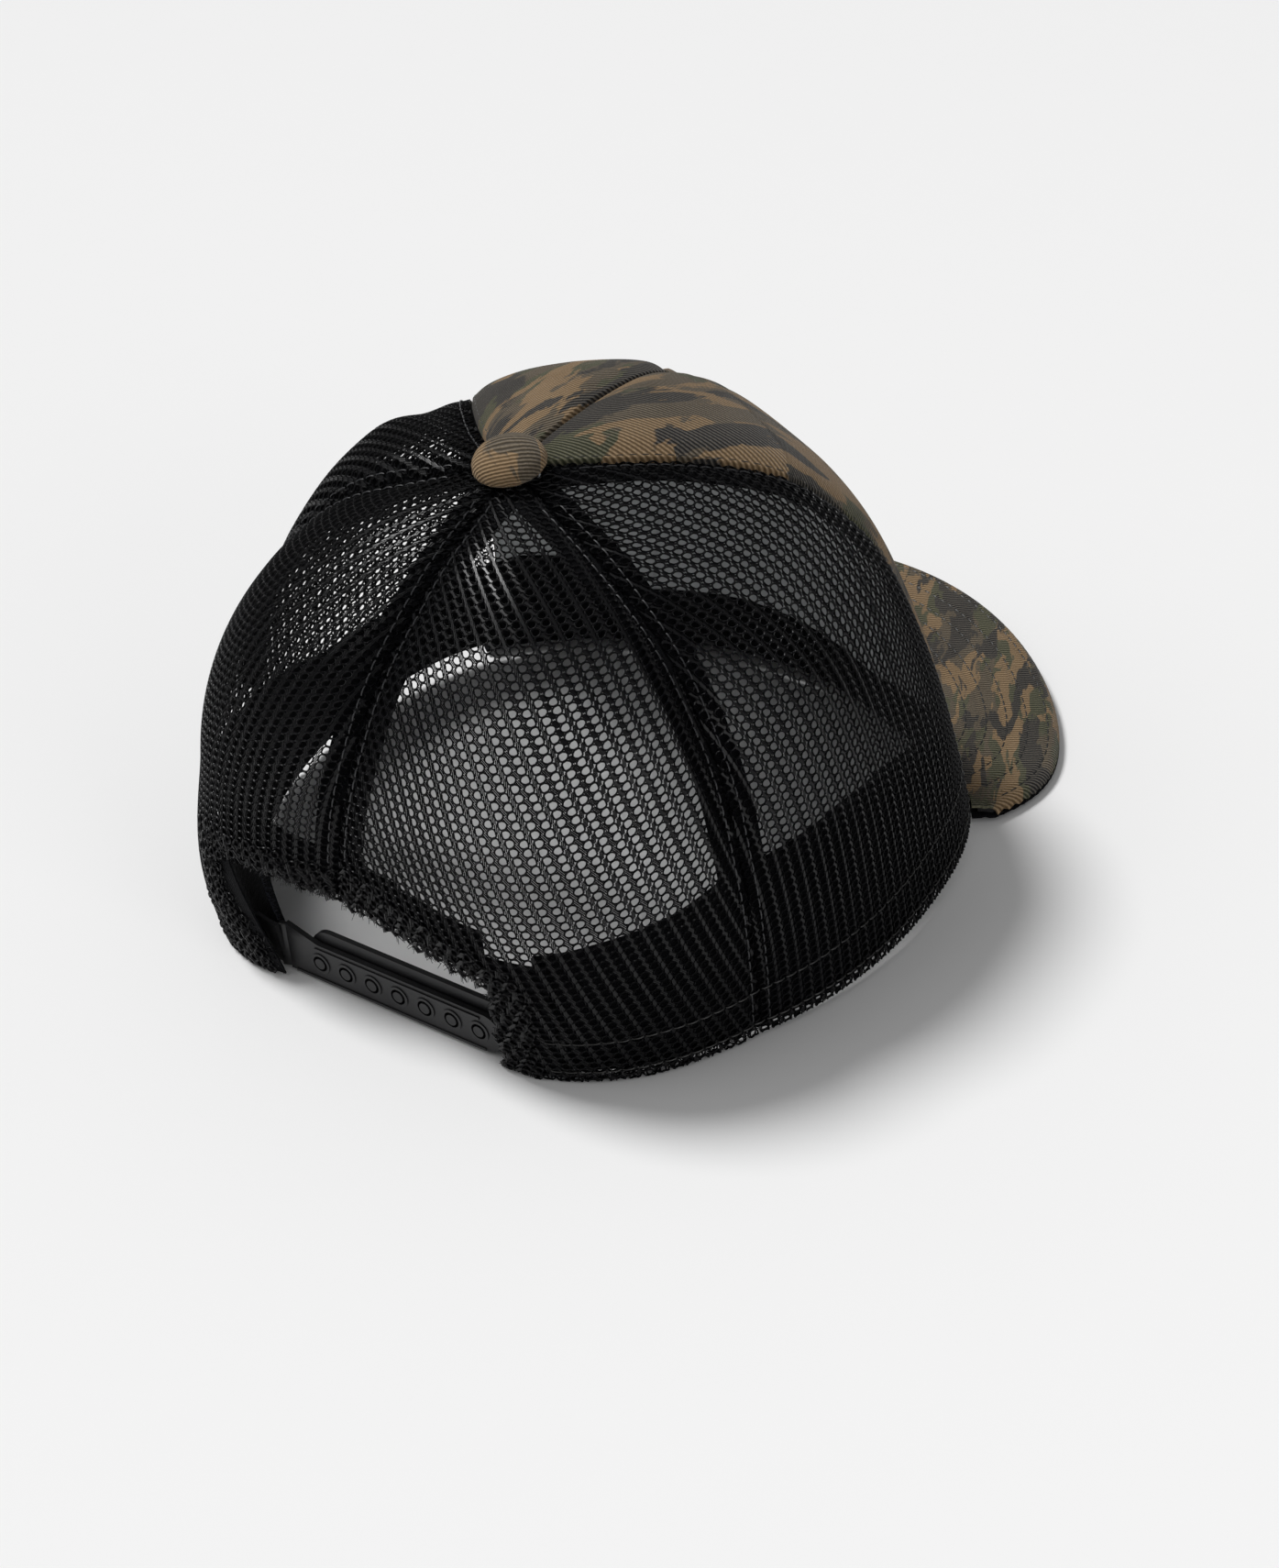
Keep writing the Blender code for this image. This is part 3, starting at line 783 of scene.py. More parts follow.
def makeNetPanel(name, first, last, lean=0.0, shift=0.0, deep=1.35, band=False, lift=0.0):
    # with band set, only a strip round the opening is laid, lifted off the panel and uneven
    spot, place, length = panelPlace(first, last)
    n = net
    columns = np.arange(-26, 27)
    rows = np.arange(0, int((length + n["hemTurn"]) / n["rowPitch"]) + 12)
    k, j = [grid.ravel() for grid in np.meshgrid(columns, rows)]
    u = k * n["columnPitch"] + shift
    v = (j + 0.5 * (k % 2)) * n["rowPitch"] - 8
    turn = math.radians(lean)
    pivot = length * n["pivot"]
    u, v = (u * math.cos(turn) - (v - pivot) * math.sin(turn),
            pivot + u * math.sin(turn) + (v - pivot) * math.cos(turn))
    t, angle, over, pastFirst, pastLast = spot(u, v)
    keep = (pastFirst < n["allowance"]) & (pastLast < n["allowance"]) & (over < n["hemTurn"])
    keep &= (v > n["topGap"]) & (np.abs(u) < n["widest"])
    point = crown(angle, t)
    if "back" in name:
        keep &= ~insideArch(point[:, 0], point[:, 2], n["archGap"])
    if band:
        keep &= insideArch(point[:, 0], point[:, 2], n["bandWidth"]) & (over < 0)
        keep &= ~insideArch(point[:, 0], point[:, 2], n["bandGap"])
        jumble = np.array([[chance.uniform(-1, 1) for _ in range(3)] for _ in range(len(u))])
        u, v, lift = u + 0.55 * jumble[:, 0], v + 0.45 * jumble[:, 1], lift + 0.25 * jumble[:, 2]
    copies = []
    for mirrored in (False, True):
        chosen = keep & (k % 2 == int(mirrored))
        points, faces = netCell(mirrored, deep)
        bent = points.copy()
        bent[:, 0] = points[:, 0] * math.cos(turn) - points[:, 1] * math.sin(turn)
        bent[:, 1] = points[:, 0] * math.sin(turn) + points[:, 1] * math.cos(turn)
        # depth grows inwards, so the template is turned over
        copies.append((bent, faces, np.stack([u[chosen], v[chosen], (0 * u - lift)[chosen]], axis=-1)))
    return layCopies("net_" + name, copies, place)


def makeNetPanels():
    cuts = (("mesh_side_panel_right", "camoRight", "sideRight", 0, 0.0, 1.35),
            ("mesh_side_panel_left", "sideLeft", "camoLeft", 0, 1.0, 1.5),
            ("mesh_back_panel_right", "sideRight", "back", 24, 0.5, 1.35),
            ("mesh_back_panel_left", "backFromLeft", "sideLeft", 0, 0.0, 1.35))
    for node, first, last, lean, shift, deep in cuts:
        obj = makeNetPanel(node, first, last, lean, shift, deep)
        finishPiece(obj, "net", "black_mesh", node, 75)
        declareGore(obj, first, last, 0.0, 1.0)
        print("  ", obj.name, sum(len(face.vertices) - 2 for face in obj.data.polygons), "triangles")
    makeEdgeBand()
    print("net panels done")


def makeEdgeBand():
    # the net is doubled over along the opening
    fold = net["bandDeep"], True, net["bandLift"]
    right = makeNetPanel("back_edge_band", "sideRight", "back", -24, 1.3, *fold)
    left = makeNetPanel("back_edge_band_left", "backFromLeft", "sideLeft", 27, 0.6, *fold)
    pick(left, right)
    bpy.ops.object.join()
    right.name = right.data.name = "net_edge_band"
    finishPiece(right, "net", "black_mesh", None, 75)


# ---- seam tapes, sweatband and the facing of the opening

tapes = {"halfWidth": 6.5, "mostTurn": 34, "thickness": 0.7}
tapeCuts = (  # seam, top, foot, depth, the CAD tape that it stands for, finish
    ("ridge", "ridge", 0.12, 0.43, 3.0, "ridge_seam_tape", "lining"),
    ("front_seam_right", "frontRight", 0.46, 0.94, 3.0, "front_seam_tape_right", "lining"),
    ("front_seam_left", "frontLeft", 0.46, 0.94, 3.0, "front_seam_tape_left", "lining"),
    ("camo_seam_right", "camoRight", 0.035, 0.80, 1.5, "camo_seam_tape_right", "tape"),
    ("camo_seam_left", "camoLeft", 0.035, 0.80, 1.5, "camo_seam_tape_left", "tape"),
    ("side_seam_right", "sideRight", 0.035, 0.80, 1.5, "side_seam_tape_right", "tape"),
    ("side_seam_left", "sideLeft", 0.035, 0.80, 1.5, "side_seam_tape_left", "tape"),
    ("back_seam", "back", 0.035, 0.82, 1.5, "back_seam_tape", "tape"),
)


def makeTape(name, seam, top, foot, depth, node, look):
    ts = np.linspace(0, 1, 300)
    lengths = runLengths(crown(np.radians(seams[seam](ts)), ts))

    def place(across, down):
        t = top + (foot - top) * down
        middle = np.radians(seams[seam](t))
        reach = np.minimum(tapes["halfWidth"] / speed(middle, t), math.radians(tapes["mostTurn"]))
        return onCrown(middle + reach * (2 * across - 1), t, depth + 0 * t)

    def layout(across, down):
        t = top + (foot - top) * down
        return np.stack([(2 * across - 1) * tapes["halfWidth"], np.interp(t, ts, lengths)], axis=-1)

    obj = layCloth("tape_" + name, 8, 60, place, layout, tapes["thickness"])
    finishPiece(obj, look, "black_cloth", node)
    flat = 0.013, round(float(np.interp(foot, ts, lengths) - np.interp(top, ts, lengths)) * mm, 3)
    print("  cut of", obj.name, *flat)


sweatband = {
    "foot": 0.996, "depth": 1.8, "backDepth": 3.1, "thickness": 1.2, "wave": 0.35, "hollow": 0.8, "length": 0.49,
    "leftTopX": 41.5, "leftFootX": 36.5, "rightX": -44.5, "backFrom": 134, "backTo": 147, "flareTo": 150,
    "tops": ((-165, 0.83), (-150, 0.82), (-121, 0.82), (-98, 0.885), (-76, 0.90), (-54, 0.89), (-44, 0.90), (-30, 0.94),
             (0, 0.94), (27, 0.955), (45, 0.945), (60, 0.90), (90, 0.81), (104, 0.79), (128, 0.79),
             (140, 0.81), (156, 0.84)),
}


def sweatbandTop(angle):
    # the band stands lower at the front than at the sides
    knots = sweatband["tops"]
    return np.interp(np.degrees(angle), [knot[0] for knot in knots], [knot[1] for knot in knots])


def makeSweatband():
    s = sweatband
    first = crownPlace(s["leftTopX"], 24.0)[0] - 2 * math.pi
    firstFoot = crownPlace(s["leftFootX"], 2.0)[0] - 2 * math.pi
    last = crownPlace(s["rightX"], 8.0)[0]

    def spot(across, down):
        start = first + (firstFoot - first) * down
        angle = start + (last - start) * across
        top = sweatbandTop(angle)
        return angle, top + (s["foot"] - top) * down

    def place(across, down):
        angle, t = spot(across, down)
        wave = s["wave"] * np.sin(23 * angle) * np.sin(math.pi * down)
        hollow = s["hollow"] * np.sin(math.pi * down)
        back = smooth(np.abs(np.degrees(angle)), s["backFrom"], s["backTo"])
        # the left end stays behind where the tab flares out
        leftEnd = softness["flare"] * smooth(-np.degrees(angle), s["backFrom"], s["flareTo"])
        return onCrown(angle, t, s["depth"] + (s["backDepth"] - s["depth"]) * back + hollow + wave + leftEnd)

    def layout(across, down):
        angle, t = spot(across, down)
        return np.stack([angle * 90.0, t * 160.0], axis=-1)

    obj = layCloth("sweatband_strip", 260, 14, place, layout, s["thickness"])
    finishPiece(obj, "sweat", "black_cloth", "sweatband")
    turns = np.linspace(first, last, 300)
    foot, top = crown(turns, 0 * turns + s["foot"]), crown(turns, sweatbandTop(turns))
    area = round(s["length"] * float(np.mean(np.linalg.norm(foot - top, axis=1))) * mm, 5)
    print("  cut of sweatband_strip", s["length"], 0.035, area)


def archEdgeHeight(x):
    upper = sorted(point for point in arch if point[1] >= 24)
    return np.interp(x, [point[0] for point in upper], [point[1] for point in upper])


facing = {
    "from": -34.4, "to": 47.0, "width": 10.5, "span": 0.070, "lap": 0.004, "depth": 1.1, "thickness": 0.5,
    "sideWidth": 15.0, "sideTop": 36.0, "sideFoot": 0.6, "sideDepth": 0.95, "sideThickness": 0.4,
}


def makeFacing():
    # doubled strip along the opening's upper edge
    f = facing
    shares = np.linspace(0, 1, 80)
    xs = np.linspace(f["from"], f["to"], 80)
    angles, ts = np.array([crownPlace(x, archEdgeHeight(x) + 0.3) for x in xs]).T

    def place(across, down):
        t = np.interp(across, shares, ts) - f["span"] * (1 - down) - f["lap"]
        return onCrown(np.interp(across, shares, angles), t, f["depth"] + 0.15 * np.sin(60 * across))

    def layout(across, down):
        return np.stack([across * 85, down * f["width"]], axis=-1)

    obj = layCloth("facing_strip", 90, 10, place, layout, f["thickness"])
    finishPiece(obj, "tape", "black_cloth", "arch_binding")
    makeSideFacing("facing_side_right", (-34.2, -34.4), -1)
    makeSideFacing("facing_side_left", (33.9, 46.0), 1)
    print("sweatband and facing done")


def makeSideFacing(name, edge, side):
    # strip that backs the net beside the opening, from the hem up to the upper facing
    f = facing
    top = f["sideTop"]

    def place(across, down):
        z = top + (f["sideFoot"] - top) * down
        xs = edge[0] + (edge[1] - edge[0]) * (z / top) ** 1.4 + side * f["sideWidth"] * across
        places = np.array([crownPlace(x, height) for x, height in zip(xs, z)])
        return onCrown(places[:, 0], places[:, 1], np.full(len(z), f["sideDepth"]))

    def layout(across, down):
        return np.stack([across * f["sideWidth"], down * top], axis=-1)

    obj = layCloth(name, 10, 14, place, layout, f["sideThickness"])
    finishPiece(obj, "tape", "black_cloth")


# ---- visor

visor = {
    "spread": 61.0, "halfWidth": 91.5, "tipY": -134.0, "sideY": -62.0, "top": 8.5, "sag": 4.3,
    "cornerIn": 7.0, "cornerBack": 14.0, "clearance": 0.4, "thick": 4.0,
    "rowPitch": 5.8, "firstRow": 3.2, "rows": 10, "groove": 0.34, "grooveWidth": 0.75,
    "roll": 3.0, "underRoll": 1.0, "cloth": 0.7,
}


def visorRim(share, inset=0.0):
    s = visor
    turn = share * math.pi / 2
    depth = s["sideY"] - s["tipY"] - inset
    corner = np.abs(share) ** 12
    x = -np.sin(turn) * (s["halfWidth"] - inset - s["cornerIn"] * corner)
    y = s["sideY"] + s["cornerBack"] * corner - depth * np.abs(np.cos(turn)) ** 1.4
    return np.stack([x, y + crownShape["centreY"]], axis=-1)


def visorRoot(share):
    angle = np.radians(visor["spread"] * share)
    root = crown(angle, np.ones_like(angle))[..., :2]
    outward = crownNormal(angle, np.full_like(angle, 0.999))[..., :2]
    return root + outward / np.linalg.norm(outward, axis=-1, keepdims=True) * visor["clearance"]


rimSamples = visorRim(np.linspace(-1, 1, 700))


def rimDistance(plan):
    # in batches, because the table of distances is large
    batches = np.array_split(plan, len(plan) // 4000 + 1)
    return np.concatenate([np.linalg.norm(part[:, None] - rimSamples, axis=-1).min(axis=1) for part in batches])


def visorHeight(plan, under=False):
    s = visor
    distance = rimDistance(plan)
    height = s["top"] - s["sag"] * (plan[:, 0] / s["halfWidth"]) ** 2
    rowPlace = (distance - s["firstRow"]) / s["rowPitch"]
    nearestRow = np.clip(np.round(rowPlace), 0, s["rows"] - 1)
    offRow = (rowPlace - nearestRow) * s["rowPitch"]
    groove = s["groove"] * np.exp(-((offRow / s["grooveWidth"]) ** 2))
    roll = s["underRoll"] if under else s["roll"]
    reach = np.clip(roll - distance, 0, roll)
    rolled = roll - np.sqrt(np.maximum(roll**2 - reach**2, 0))
    if under:
        return height - s["thick"] + rolled + groove
    return height - rolled - groove


def visorPlan(across, down):
    share = 2 * across - 1
    part = 1 - (1 - down) ** 1.12
    return visorRoot(share) * (1 - part)[:, None] + visorRim(share) * part[:, None]


def makeVisorCover(name, under, look, slot, node):
    def place(across, down):
        plan = visorPlan(across, down)
        return np.concatenate([plan, visorHeight(plan, under)[:, None]], axis=-1)

    def outward(centre):
        return Vector((0, 0, -1 if under else 1))

    obj = layCloth(name, 200, 84, place, visorPlan, visor["cloth"], outward)
    finishPiece(obj, look, slot, node)


def visorStitchRows():
    rows = []
    for k in range(visor["rows"]):
        share = np.linspace(-0.985, 0.985, 1200)
        line = visorRim(share, visor["firstRow"] + k * visor["rowPitch"])
        # a row stops where it meets the crown
        angle = np.arctan2(-line[:, 0], -(line[:, 1] - crownShape["centreY"]))
        clear = np.hypot(line[:, 0], line[:, 1] - crownShape["centreY"]) - hemRadius(angle)
        rows.append(line[clear > 1.2])
    return rows


# ---- stitches

stitches = {  # finish, length, gap and radius of each kind
    "net_topstitches": ("netThread", 2.4, 0.8, 0.17),
    "camo_topstitches": ("camoThread", 2.4, 0.6, 0.15),
    "hem_topstitches": ("camoThread", 2.8, 0.6, 0.18),
    "visor_topstitches": ("camoThread", 2.6, 0.5, 0.20),
}


def stitchTemplate(length, radius):
    # a short thread that dips into the cloth at both ends, lying along y
    pick()
    bpy.ops.mesh.primitive_cylinder_add(vertices=5, radius=radius, depth=length, rotation=(math.pi / 2, 0, 0))
    obj = justMade("stitch")
    settle(obj)
    bpy.ops.object.mode_set(mode="EDIT")
    for place in (-0.28, 0.0, 0.28):
        bpy.ops.mesh.select_all(action="SELECT")
        bpy.ops.mesh.bisect(plane_co=(0, place * length, 0), plane_no=(0, 1, 0))
    bpy.ops.object.mode_set(mode="OBJECT")
    for vert in obj.data.vertices:
        end = abs(vert.co.y) / (length / 2)
        vert.co.z -= (1.6 * radius) * end**3
    points, faces = meshArrays(obj)
    bpy.data.objects.remove(obj)
    return points, faces


def stitchAlong(name, lines):
    # lines: (points, outward directions) in millimetres
    look, length, gap, radius = stitches[name]
    template, faces = stitchTemplate(length, radius)
    points, allFaces = [], []
    for line, outward in lines:
        run = runLengths(line)
        at = lambda place, values: np.array([np.interp(place, run, values[:, k]) for k in range(3)])
        for middle in np.arange(length / 2, run[-1] - length / 2, length + gap):
            nudge = chance.uniform(-0.08, 0.08)
            step = at(middle + 0.4, line) - at(middle - 0.4, line)
            along = step / np.linalg.norm(step)
            side = np.cross(along, at(middle, outward))
            side /= np.linalg.norm(side)
            up = np.cross(side, along)
            turned = (template[:, :1] + nudge) * side + template[:, 1:2] * along + template[:, 2:] * up
            allFaces += [tuple(len(points) * len(template) + index for index in face) for face in faces]
            points.append(at(middle, line) + turned)
    obj = fromArrays(name, np.concatenate(points) * mm, allFaces)
    turnOutward(obj)
    finishPiece(obj, look, "black_cloth")


def seamLine(seam, side, top, foot, depth, count=160):
    # a line beside a seam, side millimetres away from it
    t = np.linspace(top, foot, count)
    angle = np.radians(seams[seam](t))
    angle = angle + side / speed(angle, t)
    return onCrown(angle, t, depth + 0 * t), crownNormal(angle, np.minimum(t, 0.999))


def hemLine(firstAngle, lastAngle, t, depth, count=500):
    angle = np.linspace(firstAngle, lastAngle, count)
    ts = np.full(count, t)
    return onCrown(angle, ts, np.full(count, depth)), crownNormal(angle, np.minimum(ts, 0.999))


def makeStitches():
    lines = [seamLine(seam, side, 0.10, foot, -0.22)
             for seam, foot in (("sideRight", 0.99), ("sideLeft", 0.99), ("back", 0.80)) for side in (-2.3, 2.3)]
    lines += [seamLine("camoRight", 2.4, 0.08, 0.99, -0.22), seamLine("camoLeft", -2.4, 0.08, 0.99, -0.22)]
    stitchAlong("net_topstitches", lines)
    lines = [seamLine("camoRight", -1.6, 0.05, 0.99, 0.02), seamLine("camoLeft", 1.6, 0.05, 0.99, 0.02)]
    lines += [seamLine(seam, side, 0.46, 0.99, 0.02) for seam in ("frontRight", "frontLeft") for side in (-2.0, 2.0)]
    stitchAlong("camo_topstitches", lines)
    first, last = crownPlace(47.0, 3.0)[0] - 2 * math.pi, crownPlace(-45.5, 3.0)[0]
    stitchAlong("hem_topstitches", [hemLine(first, last, t, -0.15) for t in (0.985, 0.945)])
    lines = []
    for line in visorStitchRows():
        raised = np.concatenate([line, visorHeight(line)[:, None] + 0.10], axis=-1)
        lines.append((raised, np.tile([0.0, 0.0, 1.0], (len(line), 1))))
    stitchAlong("visor_topstitches", lines)
    print("stitches done")


# ---- button

button = {
    "radius": 8.9, "rise": 5.0, "tilt": 9.0, "foot": 0.2, "seat": 1.0, "underside": 1.9,
    "gathers": 17, "gatherDepth": 0.02, "clothReach": 9.5,
}


def makeButton():
    b = button
    pick()
    bpy.ops.mesh.primitive_uv_sphere_add(segments=64, ring_count=32, radius=1.0)
    obj = justMade("covered_button")
    points, _ = meshArrays(obj)
    turn = np.arctan2(points[:, 1], points[:, 0])
    spoke = np.stack([np.cos(turn), np.sin(turn)], axis=-1)
    up = points[:, 2]
    gather = 1 - b["gatherDepth"] * np.cos(turn * b["gathers"]) * np.clip(0.6 - np.abs(up), 0, 1)
    radius = b["radius"] * np.hypot(points[:, 0], points[:, 1]) ** 0.80 * gather
    height = np.where(up > 0, b["rise"] * np.abs(up) ** 0.92, b["underside"] * up) + b["foot"] + b["seat"]
    shaped = np.stack([*(radius * spoke.T), height], axis=-1)
    obj.data.vertices.foreach_set("co", (shaped * mm).ravel())
    spread = np.arccos(np.clip(up, -1, 1)) / (math.pi / 2)
    writeLayout(obj, (spread * b["clothReach"])[:, None] * spoke * mm)
    obj.rotation_euler = (-math.radians(b["tilt"]), 0, 0)
    obj.location = (0, (crownShape["centreY"] + crownShape["buttonY"]) * mm, crownShape["buttonZ"] * mm)
    settle(obj)
    finishPiece(obj, "camoButton", "camo_twill", "button_cover", 75)
    print("button done")


# ---- snap strap

strap = {
    "pegs": 7, "pitch": 8.2, "firstX": 23.8, "z": 6.2, "peg": 1.35, "hole": 2.15, "collar": 2.9, "thick": 1.4,
    "outerFace": 110.3, "innerFace": 108.5, "outerHinge": 34.2, "innerHinge": -42.0, "hingeGap": 0.2,
    "foot": 0.8, "top": 11.7, "rootTop": 14.7, "rootX": 27.0, "rootSlope": 2.5, "endX": -32.4,
    "innerFoot": 1.0, "innerTop": 15.0, "innerTip": 27.5, "innerCorner": 6.0, "edge": 0.16, "webEdge": 0.3,
}


def bar(name, lowX, highX, lowY, highY, lowZ, highZ):
    low, high = np.array((lowX, lowY, lowZ)), np.array((highX, highY, highZ))
    pick()
    bpy.ops.mesh.primitive_cube_add(size=1, location=tuple((low + high) / 2 * mm), scale=tuple((high - low) * mm))
    obj = justMade(name)
    settle(obj)
    return obj


def pin(name, x, z, radius, lowY, highY, vertices=32):
    pick()
    bpy.ops.mesh.primitive_cylinder_add(vertices=vertices, radius=radius * mm, depth=(highY - lowY) * mm,
                                        location=(x * mm, (lowY + highY) / 2 * mm, z * mm),
                                        rotation=(math.pi / 2, 0, 0))
    obj = justMade(name)
    settle(obj)
    return obj


def combine(obj, other, operation):
    # a union or a cut with another solid, which is then used up
    cut = obj.modifiers.new("combine", "BOOLEAN")
    cut.operation, cut.solver, cut.object = operation, "EXACT", other
    applyAll(obj)
    bpy.data.objects.remove(other)


def softenEdges(obj, width):
    bevel = obj.modifiers.new("soften", "BEVEL")
    bevel.width, bevel.segments, bevel.limit_method = width * mm, 2, "ANGLE"
    bevel.angle_limit = math.radians(35)
    applyAll(obj)


def pegPlaces():
    return [strap["firstX"] - strap["pitch"] * k for k in range(strap["pegs"])]


def makeOuterTongue():
    s = strap
    y1, y0 = s["outerFace"], s["outerFace"] - s["thick"]
    radius = (s["top"] - s["foot"]) / 2
    roundX, hingeX = s["endX"] + radius, s["outerHinge"] - s["hingeGap"]
    tongue = bar("strap_tongue_outer", roundX, hingeX, y0, y1, s["foot"], s["top"])
    combine(tongue, pin("end", roundX, s["foot"] + radius, radius, y0, y1, 64), "UNION")
    # the wider root slopes down to the tongue's upper edge
    root = bar("root", s["rootX"] - s["rootSlope"], hingeX, y0, y1, s["foot"], s["rootTop"])
    for vert in root.data.vertices:
        if vert.co.x < (s["rootX"] - 1) * mm and vert.co.z > 10 * mm:
            vert.co.x -= s["rootSlope"] * mm
            vert.co.z = (s["top"] - 0.6) * mm
    combine(tongue, root, "UNION")
    for x in pegPlaces():
        combine(tongue, pin("collar", x, s["z"], s["collar"], y1 - 0.3, y1 + 0.28), "UNION")
    # raised rib over the holes and a thin rim along the lower edge
    combine(tongue, bar("rib", roundX + 1, s["rootX"] - 2, y1 - 0.2, y1 + 0.35, s["top"] - 1.75, s["top"] - 1.05),
            "UNION")
    combine(tongue, bar("rim", roundX, s["outerHinge"] - 2, y1 - 0.2, y1 + 0.30, s["foot"] + 0.05, s["foot"] + 0.75),
            "UNION")
    for x in pegPlaces():
        combine(tongue, pin("hole", x, s["z"], s["hole"], y0 - 1, y1 + 1), "DIFFERENCE")
    softenEdges(tongue, s["edge"])
    finishPiece(tongue, "plastic", "black_plastic", "strap_outer", 40, "outer_tongue")


def makeInnerTongue():
    s = strap
    y1, y0, corner, tip = s["innerFace"], s["innerFace"] - s["thick"], s["innerCorner"], s["innerTip"]
    lowZ, highZ = s["innerFoot"] + corner, s["innerTop"] - corner
    tongue = bar("strap_tongue_inner", s["innerHinge"] + s["hingeGap"], tip - corner, y0, y1,
                 s["innerFoot"], s["innerTop"])
    combine(tongue, bar("tip", tip - corner - 1, tip, y0, y1, lowZ, highZ), "UNION")
    for z in (lowZ, highZ):
        combine(tongue, pin("corner", tip - corner, z, corner, y0, y1, 64), "UNION")
    for x in pegPlaces():
        combine(tongue, pin("peg", x, s["z"], s["peg"] - 0.12, y1 - 0.4, y1 + 2.05, 24), "UNION")
        combine(tongue, pin("head", x, s["z"], s["peg"] + 0.16, y1 + 1.55, y1 + 2.2, 24), "UNION")
    softenEdges(tongue, s["edge"])
    finishPiece(tongue, "plastic", "black_plastic", "strap_inner", 40, "inner_tongue")


def makeWeb():
    # the thin moulded step between the outer tongue and its sewn anchor
    s = strap
    web = bar("strap_outer_web", s["outerHinge"] - 0.5, s["outerHinge"] + 2.0, s["outerFace"] - 1.2,
              s["outerFace"] + 0.9, s["foot"] + 0.5, s["rootTop"] - 0.5)
    for vert in web.data.vertices:
        if vert.co.x < s["outerHinge"] * mm:
            vert.co.y = min(vert.co.y, (s["outerFace"] - 0.1) * mm)
    softenEdges(web, s["webEdge"])
    finishPiece(web, "plastic", "black_plastic", None, 40)


# ---- loose threads

fray = {
    "edge": {"count": 620, "look": "net", "radius": 0.13, "longest": 2.2, "slot": "black_mesh"},
    "lint": {"count": 160, "look": "sweatLint", "radius": 0.09, "longest": 1.5, "slot": "black_cloth"},
    "sideHeight": 16, "sideSkip": 0.55,  # fewer threads along the sides than along the top
}


def threadPiece(name, starts, kind):
    # short bent three-sided threads; each start is (point, direction, outward)
    points, faces = [], []
    for start, direction, outward in starts:
        length = chance.uniform(0.35, 1.0) * kind["longest"]
        curl = np.array([chance.uniform(-1, 1) for _ in range(3)])
        base = len(points)
        side = np.cross(direction, outward)
        side = side / max(np.linalg.norm(side), 1e-6)
        for k in range(4):
            part = k / 3
            bend = curl * 0.35 + np.array([0, 0, -0.15])
            point = start + length * (direction * part + bend * part * part)
            thin = kind["radius"] * (1 - 0.5 * part)
            for turn in (0, 2.094, 4.189):  # thirds of a turn
                points.append(point + thin * (math.cos(turn) * side + math.sin(turn) * outward))
        for k in range(3):
            for m in range(3):
                a, b = base + 3 * k + m, base + 3 * k + (m + 1) % 3
                faces.append((a, b, b + 3, a + 3))
        faces += [(base + 2, base + 1, base), (base + 9, base + 10, base + 11)]
    obj = fromArrays(name, np.array(points) * mm, faces)
    turnOutward(obj)
    finishPiece(obj, kind["look"], kind["slot"], None, 75)


def openingEdge(count):
    # the opening's edge from the right foot over the top to the left foot, as heights, angles and ts
    corners = np.array([(x, max(z, 0.8)) for x, z in arch], float)
    run = runLengths(corners)
    at = np.linspace(0, run[-1], count)
    xs, zs = np.interp(at, run, corners[:, 0]), np.interp(at, run, corners[:, 1])
    angles, ts = np.array([crownPlace(x, z) for x, z in zip(xs, zs)]).T
    return zs, angles, ts


def makeFray():
    f = fray
    zs, angles, ts = openingEdge(300)
    edge, normals = onCrown(angles, ts, np.full(300, 0.5)), crownNormal(angles, ts)
    middle = onCrown(*[np.array([value]) for value in crownPlace(*openingMiddle)], np.array([0.5]))[0]
    starts = []
    for _ in range(f["edge"]["count"]):
        k = chance.randrange(2, 297)
        if zs[k] < f["sideHeight"] and chance.random() < f["sideSkip"]:
            continue
        along = edge[k + 1] - edge[k - 1]
        along /= np.linalg.norm(along)
        inward = np.cross(normals[k], along)
        inward = inward if inward.dot(middle - edge[k]) > 0 else -inward
        direction = inward + along * chance.uniform(-1.6, 1.6) + normals[k] * chance.uniform(-0.4, 0.5)
        direction /= np.linalg.norm(direction)
        starts.append((edge[k] - inward * chance.uniform(0.4, 1.8) - normals[k] * chance.uniform(-0.5, 0.8),
                       direction, normals[k]))
    threadPiece("fray_threads", starts, f["edge"])
    starts = []
    depth = np.array([sweatband["backDepth"] + softness["flare"]])
    for _ in range(f["lint"]["count"]):
        down = chance.random()
        x = sweatband["leftTopX"] + (sweatband["leftFootX"] - sweatband["leftTopX"]) * down
        angle, t = crownPlace(x, 27.0 - 25.0 * down)
        point = onCrown(np.array([angle]), np.array([t]), depth)[0]
        direction = np.array([-1.0, chance.uniform(-0.6, 0.6), chance.uniform(-0.8, 0.8)])
        starts.append((point, direction / np.linalg.norm(direction), crownNormal(angle, t)))
    threadPiece("lint_threads", starts, f["lint"])
    print("loose threads done")


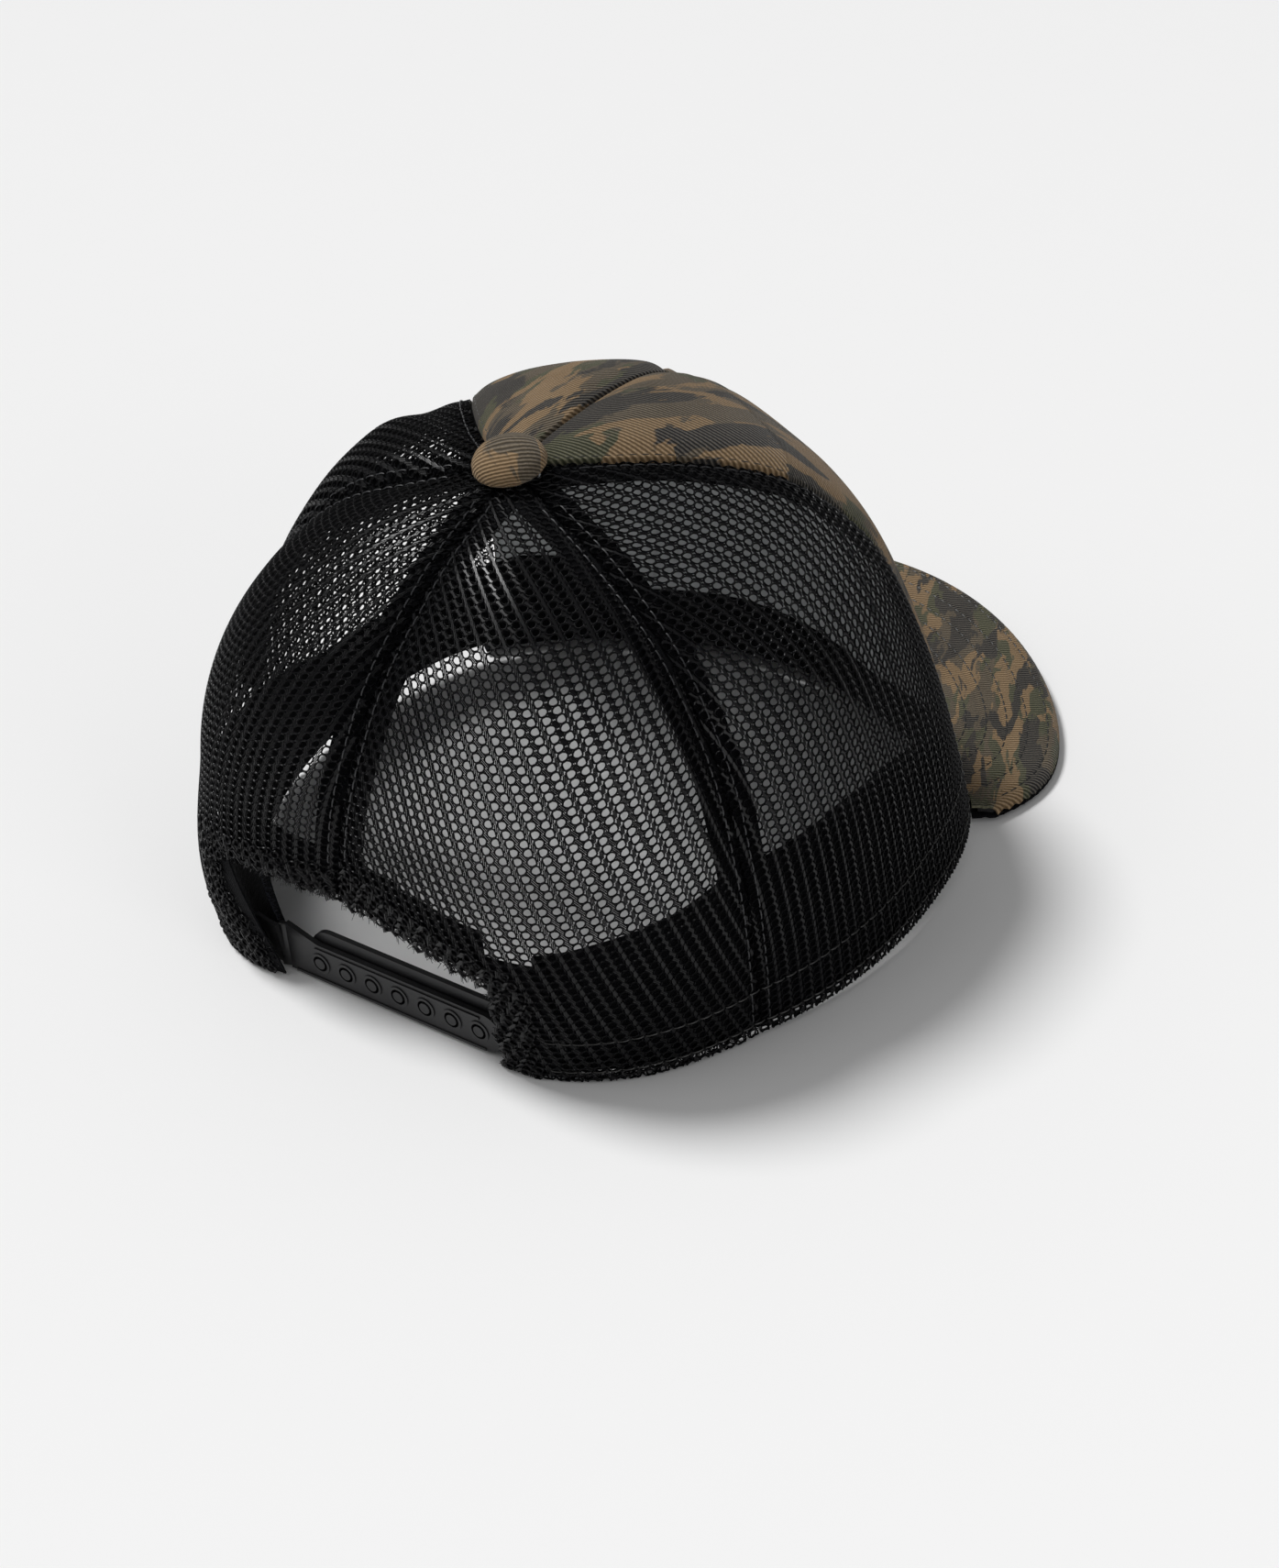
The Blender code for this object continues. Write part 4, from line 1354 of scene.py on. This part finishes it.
# ---- everything together

addCamera()
addLights()
looks = {
    "camoRight": makeCamoTwill("camoTwillRight", -84, (11, 4, 0)),
    "camoLeft": makeCamoTwill("camoTwillLeft", -68, (70, 30, 0)),
    "camoFront": makeCamoTwill("camoTwillFront", -80, (140, 60, 0)),
    "camoVisor": makeCamoTwill("camoTwillVisor", 62, (205, 18, 0), 0.590, 0.585, 1.35),
    "camoButton": makeCamoTwill("camoTwillButton", 30, (61, 33, 0), 0.515, 0.70),
    "net": makeNetYarn(),
    "tape": makeBlackCloth("blackTape"),
    "sweat": makeBlackCloth("blackSweatband", 0.7),
    "sweatLint": makeThread("blueBlackLint", (0.006, 0.007, 0.012), (0.016, 0.018, 0.030)),
    "under": makeBlackCloth("blackUndervisor", 0.6),
    "lining": makeLining(),
    "plastic": makeStrapPlastic(),
    "netThread": makeThread("glossyThread", (0.010, 0.010, 0.012), (0.045, 0.046, 0.050)),
    "camoThread": makeThread("darkThread", (0.008, 0.008, 0.008), (0.022, 0.021, 0.019)),
    "board": makeBoard(),
    "metal": makeRivetMetal(),
}
makeCamoPanels()
makeNetPanels()
for cut in tapeCuts:
    makeTape(*cut)
print("tapes done")
makeSweatband()
makeFacing()
makeVisorCover("visor_cover_top", False, "camoVisor", "camo_twill", "visor_top_cover")
makeVisorCover("visor_cover_under", True, "under", "black_cloth", "visor_under_cover")
print("visor done")
makeStitches()
makeButton()
makeOuterTongue()
makeInnerTongue()
makeWeb()
print("strap done")
makeFray()

for node, look in (("visor_board", "board"), ("button_shell", "metal"), ("button_rivet", "metal"),
                   ("strap_outer_anchor", "plastic"), ("strap_inner_anchor", "plastic")):
    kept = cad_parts[node]
    kept.data.materials.clear()
    kept.data.materials.append(looks[look])

pick()
bpy.ops.mesh.primitive_plane_add(size=40, location=(0, 0, -0.0002))
floor = justMade("floor")
settle(floor)
floor.data.materials.append(makeFloorCard())
floor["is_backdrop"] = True

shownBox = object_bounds()
[[list(corner) for corner in box] for box in (cadBox, shownBox)]
